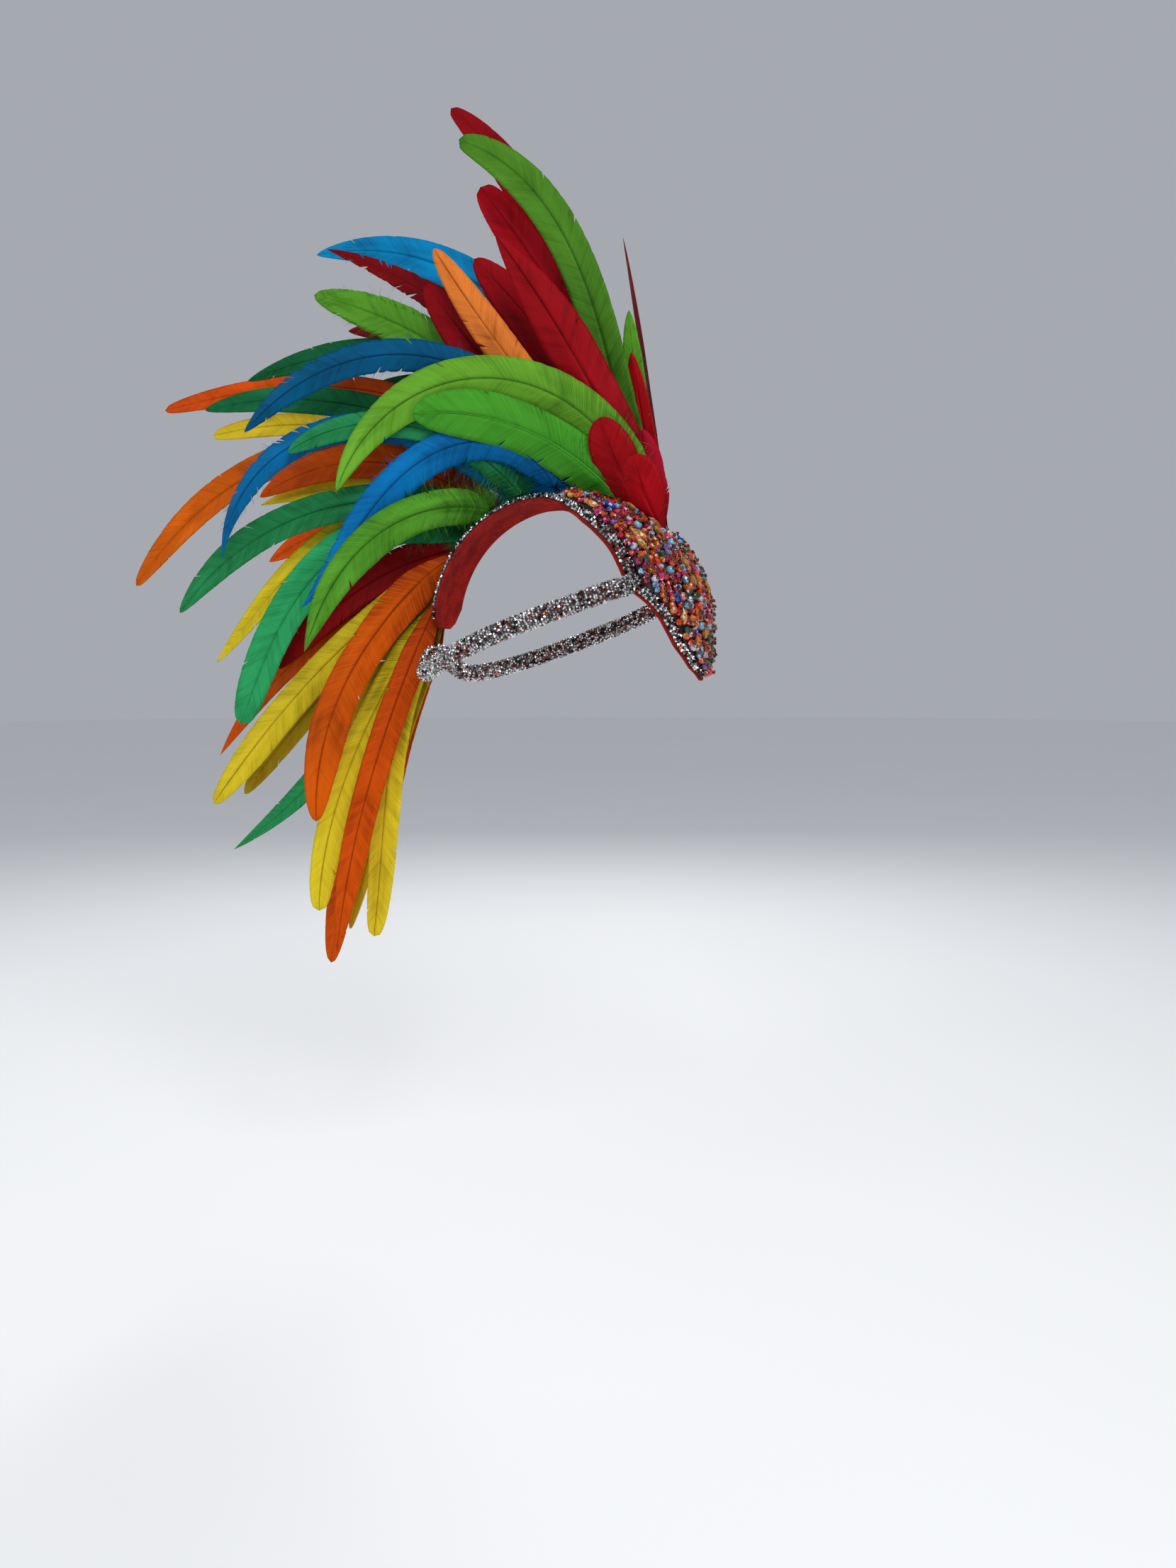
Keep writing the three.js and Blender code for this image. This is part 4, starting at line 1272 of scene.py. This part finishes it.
def field_spots(pitch, rng):
    """Stations and side angles of a close field of beads over the panel, clear of the main round beads."""
    rounds = round_bead_spots()
    taken = head_point(rounds[:, 0], rounds[:, 1], 0)
    spots = []
    row_step = FIELD["row_pitch"] * pitch / MM_PER_STATION
    lane = math.degrees(pitch / HEAD["half_width"])
    for k, station in enumerate(np.arange(FIELD["first"], FIELD["last"], row_step)):
        inner, _ = (float(side) for side in bead_span(station))
        outer = float(in_from_edge(station, FELT_RIM + TRIM_DOME["width"] + FIELD["margin"]))
        low, high = (inner, outer) if inner > 0 else (-outer, outer)
        stagger = FIELD["stagger"] * lane * (k % 2)
        count = max(1, round((high - low - 2 * stagger) / lane) + 1)
        sides = np.linspace(low + stagger, high - stagger, count) if high > low else []
        for hand in (-1, 1) if inner > 0 else (1,):
            for side in sides:
                shift = rng.normal(0, FIELD["jitter"], 2) * (row_step, lane)
                spot = (station + shift[0], hand * side + shift[1])
                here = head_point(spot[0], spot[1], 0)
                if np.linalg.norm(taken - here, axis=1).min() > FIELD_CLEAR * pitch:
                    spots.append(spot)
    return np.array(spots)


class HEADDRESS_OT_bead_field(bpy.types.Operator):
    """Make the field of sewn beads on the forehead"""

    bl_idname = "headdress.bead_field"
    bl_label = "Bead Field"
    bl_options = {"REGISTER", "UNDO"}

    def execute(self, context):
        settings = context.scene.headdress_beads
        rng = np.random.default_rng(SEEDS["beads"])
        base = FELT + BACKING["gap"] + BACKING["thickness"]
        self.make_backing(base)
        round_tops = self.make_rounds(base, rng)
        field_tops = self.make_crystals(base, settings, rng)
        self.make_seeds([round_tops, field_tops], settings.seed_size / MM, rng)
        return {"FINISHED"}

    def make_rounds(self, base, rng):
        """The main round beads. Gives the places and frames of their tops."""
        spots = round_bead_spots()
        height = base + ROUND_BEAD["radius"] - ROUND_BEAD["sunk"]
        places, frames = head_frames(spots[:, 0], spots[:, 1], height)
        tints = pick_tints(ROUND_TINTS, len(spots), rng)
        sizes = np.full((len(spots), 3), 2.0 * ROUND_BEAD["radius"])
        coat = {"Coat_Weight": 0.4, "Coat_Roughness": 0.05}
        opal = tinted_material("milky glass", roughness=0.14, grain=0.2, IOR=1.5, **coat)
        beads = copies(ball_shape(*FACETS["round"]), places, frames, sizes, tints, rng)
        tinted_piece("round_beads", beads, opal, smooth=True)
        return places + frames[:, :, 2] * ROUND_BEAD["radius"], frames

    def make_crystals(self, base, settings, rng):
        """The faceted beads and long drops. Gives places and frames of the tops that a seed bead holds."""
        field = field_spots(settings.pitch / MM, rng)
        is_drop = rng.random(len(field)) < DROP["share"]
        widths = settings.crystal_size / MM * rng.uniform(*CRYSTAL["size"], (len(field), 1))
        sizes = widths * np.array([1, 1, CRYSTAL["flat"]])
        heights = base + sizes[:, 2] * CRYSTAL["seat"] + rng.uniform(*CRYSTAL["lift"], len(field))
        places, frames = head_frames(field[:, 0], field[:, 1], heights)
        cut = ~is_drop
        tints = pick_tints(CRYSTAL_TINTS, cut.sum(), rng)
        turns = turned(frames[cut], TILT["crystal"], rng)
        # Painted reflections and glints on the facets of the faceted beads.
        look = SPARKLE["crystal"], GLINTS["crystal"]
        crystals = copies(ball_shape(*FACETS["crystal"]), places[cut], turns, sizes[cut], tints, rng, *look)
        count = is_drop.sum()
        drop_sizes = np.tile([DROP["width"], DROP["width"], DROP["length"]], (count, 1))
        drop_places = places[is_drop] + DROP["lift"] * frames[is_drop][:, :, 2]
        lying = frames[is_drop][:, :, [2, 0, 1]]
        drop_tints = pick_tints(DROP_TINTS, count, rng)
        # Painted reflections and glints on the facets of the drops.
        shape, look = ball_shape(*FACETS["drop"], DROP["taper"]), (SPARKLE["drop"], GLINTS["drop"])
        drops = copies(shape, drop_places, lying, drop_sizes, drop_tints, rng, *look)
        clear = {"Transmission_Weight": 0.25, "IOR": 1.6, "Coat_Weight": 0.3, "Coat_Roughness": 0.03}
        glass = tinted_material("faceted glass", roughness=0.07, grain=0.3, **clear)
        tinted_piece("crystal_beads", joined([crystals, drops]), glass)
        held = cut & (rng.random(len(field)) < SEED["share"])
        return places[held] + frames[held][:, :, 2] * sizes[held][:, 2:] * 0.5, frames[held]

    def make_seeds(self, tops, size, rng):
        """The small seed beads that hold the round beads and most of the faceted beads on their thread."""
        places = np.concatenate([places + frames[:, :, 2] * SEED["lift"] * size for places, frames in tops])
        frames = turned(np.concatenate([frames for _, frames in tops]), TILT["seed"], rng)
        tints = pick_tints(SEED_TINTS, len(places), rng)
        sizes = np.full((len(places), 3), size)
        metal = tinted_material("seed bead lustre", roughness=0.2, grain=0.3, Metallic=0.85)
        rings = copies(ring_shape(), places, frames, sizes, tints, rng)
        tinted_piece("seed_beads", rings, metal, smooth=True)

    def make_backing(self, base):
        """The stitched backing that shows between the beads."""
        flat, faces, _ = grid_sheet(*GRIDS["panel"])
        first, front = BACKING["first"], BED["front_station"]
        station = first + (front - first) * flat[:, 1]
        edge = FELT_RIM + TRIM_DOME["width"]
        side = (2 * flat[:, 0] - 1) * in_from_edge(station, edge)
        sheets = [(head_point(station, side, base), faces)]
        inner = math.degrees(math.asin(BED["half_width"] / HEAD["half_width"]))
        for hand in (-1, 1):
            flat, faces, _ = grid_sheet(*GRIDS["lobe"])
            station = front + (LOBE_END_STATION - front) * flat[:, 1]
            outer = np.maximum(in_from_edge(station, edge), inner + BACKING["least_angle"])
            side = hand * (inner + (outer - inner) * flat[:, 0])
            sheets.append((head_point(station, side, base), faces if hand > 0 else faces[:, ::-1]))
        mesh = mesh_from("bead_backing", *joined(sheets))
        add_wall(add_piece(mesh, [ribbon_material()], ["bead_panel"]), BACKING["thickness"], -1)


class HEADDRESS_OT_feathers(bpy.types.Operator):
    """Make the crest of dyed feathers"""

    bl_idname = "headdress.feathers"
    bl_label = "Feathers"
    bl_options = {"REGISTER", "UNDO"}

    def execute(self, context):
        settings = context.scene.headdress_crest
        barbs = barb_group()
        materials = {}
        for number, cells in enumerate(FEATHER_ROWS, 1):
            row = dict(zip(FEATHER_COLUMNS, cells))
            dye = row["dye"]
            if dye not in materials:
                materials[dye] = feather_material(dye, tuple(getattr(settings, dye)), barbs)
            node = f"feather_{number:02d}_{dye}"
            mesh = feather_mesh(f"plume_{number:02d}_{dye}", number, row, settings)
            add_piece(mesh, [materials[dye]], [node])
        return {"FINISHED"}


class HEADDRESS_OT_stage(bpy.types.Operator):
    """Make the floor, the light and the camera"""

    bl_idname = "headdress.stage"
    bl_label = "Stage"
    bl_options = {"REGISTER", "UNDO"}

    def execute(self, context):
        settings = context.scene.headdress_stage
        self.make_floor(settings)
        self.make_backdrop(context.scene, settings)
        self.make_lights(settings)
        self.make_camera(context.scene)
        context.scene.view_settings.view_transform = "Standard"
        return {"FINISHED"}

    def make_floor(self, settings):
        bm = bmesh.new()
        bmesh.ops.create_circle(bm, cap_ends=True, segments=128, radius=FLOOR_RADIUS)
        bmesh.ops.translate(bm, vec=(0, 0, settings.floor_height), verts=bm.verts)
        mesh = bpy.data.meshes.new("floor")
        bm.to_mesh(mesh)
        bm.free()
        material, bench, shader = new_material("pale floor")
        dim, bright = ((tone, tone, tone, 1) for tone in FLOOR_TONES)
        bench.feed(shader.inputs["Base Color"], bench.mix(bench.noise(bench.place(), 3), dim, bright))
        shader.inputs["Roughness"].default_value = 0.8
        mesh.materials.append(material)
        floor = bpy.data.objects.new("floor", mesh)
        bpy.context.collection.objects.link(floor)

    def make_backdrop(self, scene, settings):
        world = bpy.data.worlds.new("backdrop")
        world.use_nodes = True
        background = world.node_tree.nodes["Background"]
        background.inputs["Color"].default_value = (*settings.pale, 1)
        background.inputs["Strength"].default_value = 1.0
        scene.world = world

    def make_lights(self, settings):
        for name, place, size, share in LIGHTS:
            light = bpy.data.lights.new(name, "AREA")
            light.size = size
            light.energy = share * settings.key_power
            lamp = bpy.data.objects.new(name, light)
            lamp.location = place
            lamp.rotation_euler = (-Vector(place)).to_track_quat("-Z", "Y").to_euler()
            bpy.context.collection.objects.link(lamp)

    def make_camera(self, scene):
        data = bpy.data.cameras.new("camera")
        data.sensor_fit = "AUTO"
        data.sensor_width = SENSOR
        data.lens = PHOTO["lens_px"] / PHOTO["height"] * SENSOR
        azimuth, elevation = math.radians(VIEW["azimuth"]), math.radians(VIEW["elevation"])
        back = Vector((math.sin(azimuth), -math.cos(azimuth), 0)) * math.cos(elevation)
        back.z = math.sin(elevation)
        right = Vector((math.cos(azimuth), math.sin(azimuth), 0))
        up = back.cross(right)
        per_pixel = VIEW["distance"] / PHOTO["lens_px"]
        aside = (PHOTO["origin_x"] - PHOTO["width"] / 2) * per_pixel
        above = (PHOTO["height"] / 2 - PHOTO["origin_y"]) * per_pixel
        camera = bpy.data.objects.new("camera", data)
        turn = Matrix((right, up, back)).transposed().to_4x4()
        place = back * VIEW["distance"] - right * aside - up * above
        camera.matrix_world = Matrix.Translation(place) @ turn
        bpy.context.collection.objects.link(camera)
        scene.camera = camera


class HEADDRESS_PT_panel(bpy.types.Panel):
    """Steps of the headdress and their settings"""

    bl_idname = "HEADDRESS_PT_panel"
    bl_label = "Headdress"
    bl_space_type = "VIEW_3D"
    bl_region_type = "UI"
    bl_category = "Headdress"

    def draw(self, context):
        for operator in OPERATORS:
            self.layout.operator(operator.bl_idname)
        for holder in SETTINGS:
            box = self.layout.box()
            settings = getattr(context.scene, holder)
            for name in settings.__annotations__:
                box.prop(settings, name)


OPERATORS = (
    HEADDRESS_OT_stage,
    HEADDRESS_OT_felt_base,
    HEADDRESS_OT_edge_trim,
    HEADDRESS_OT_head_rope,
    HEADDRESS_OT_bead_field,
    HEADDRESS_OT_feathers,
)
SETTINGS = {
    "headdress_crest": HeaddressCrestSettings,
    "headdress_base": HeaddressBaseSettings,
    "headdress_beads": HeaddressBeadSettings,
    "headdress_stage": HeaddressStageSettings,
}


def register():
    for group in SETTINGS.values():
        bpy.utils.register_class(group)
    for holder, group in SETTINGS.items():
        setattr(bpy.types.Scene, holder, PointerProperty(type=group))
    for operator in OPERATORS:
        bpy.utils.register_class(operator)
    bpy.utils.register_class(HEADDRESS_PT_panel)


def unregister():
    bpy.utils.unregister_class(HEADDRESS_PT_panel)
    for operator in reversed(OPERATORS):
        bpy.utils.unregister_class(operator)
    for holder, group in SETTINGS.items():
        delattr(bpy.types.Scene, holder)
        bpy.utils.unregister_class(group)


def main():
    register()
    bpy.ops.headdress.stage()
    bpy.ops.headdress.felt_base()
    bpy.ops.headdress.edge_trim()
    bpy.ops.headdress.head_rope()
    bpy.ops.headdress.bead_field()
    bpy.ops.headdress.feathers()


if __name__ == "__main__":
    main()
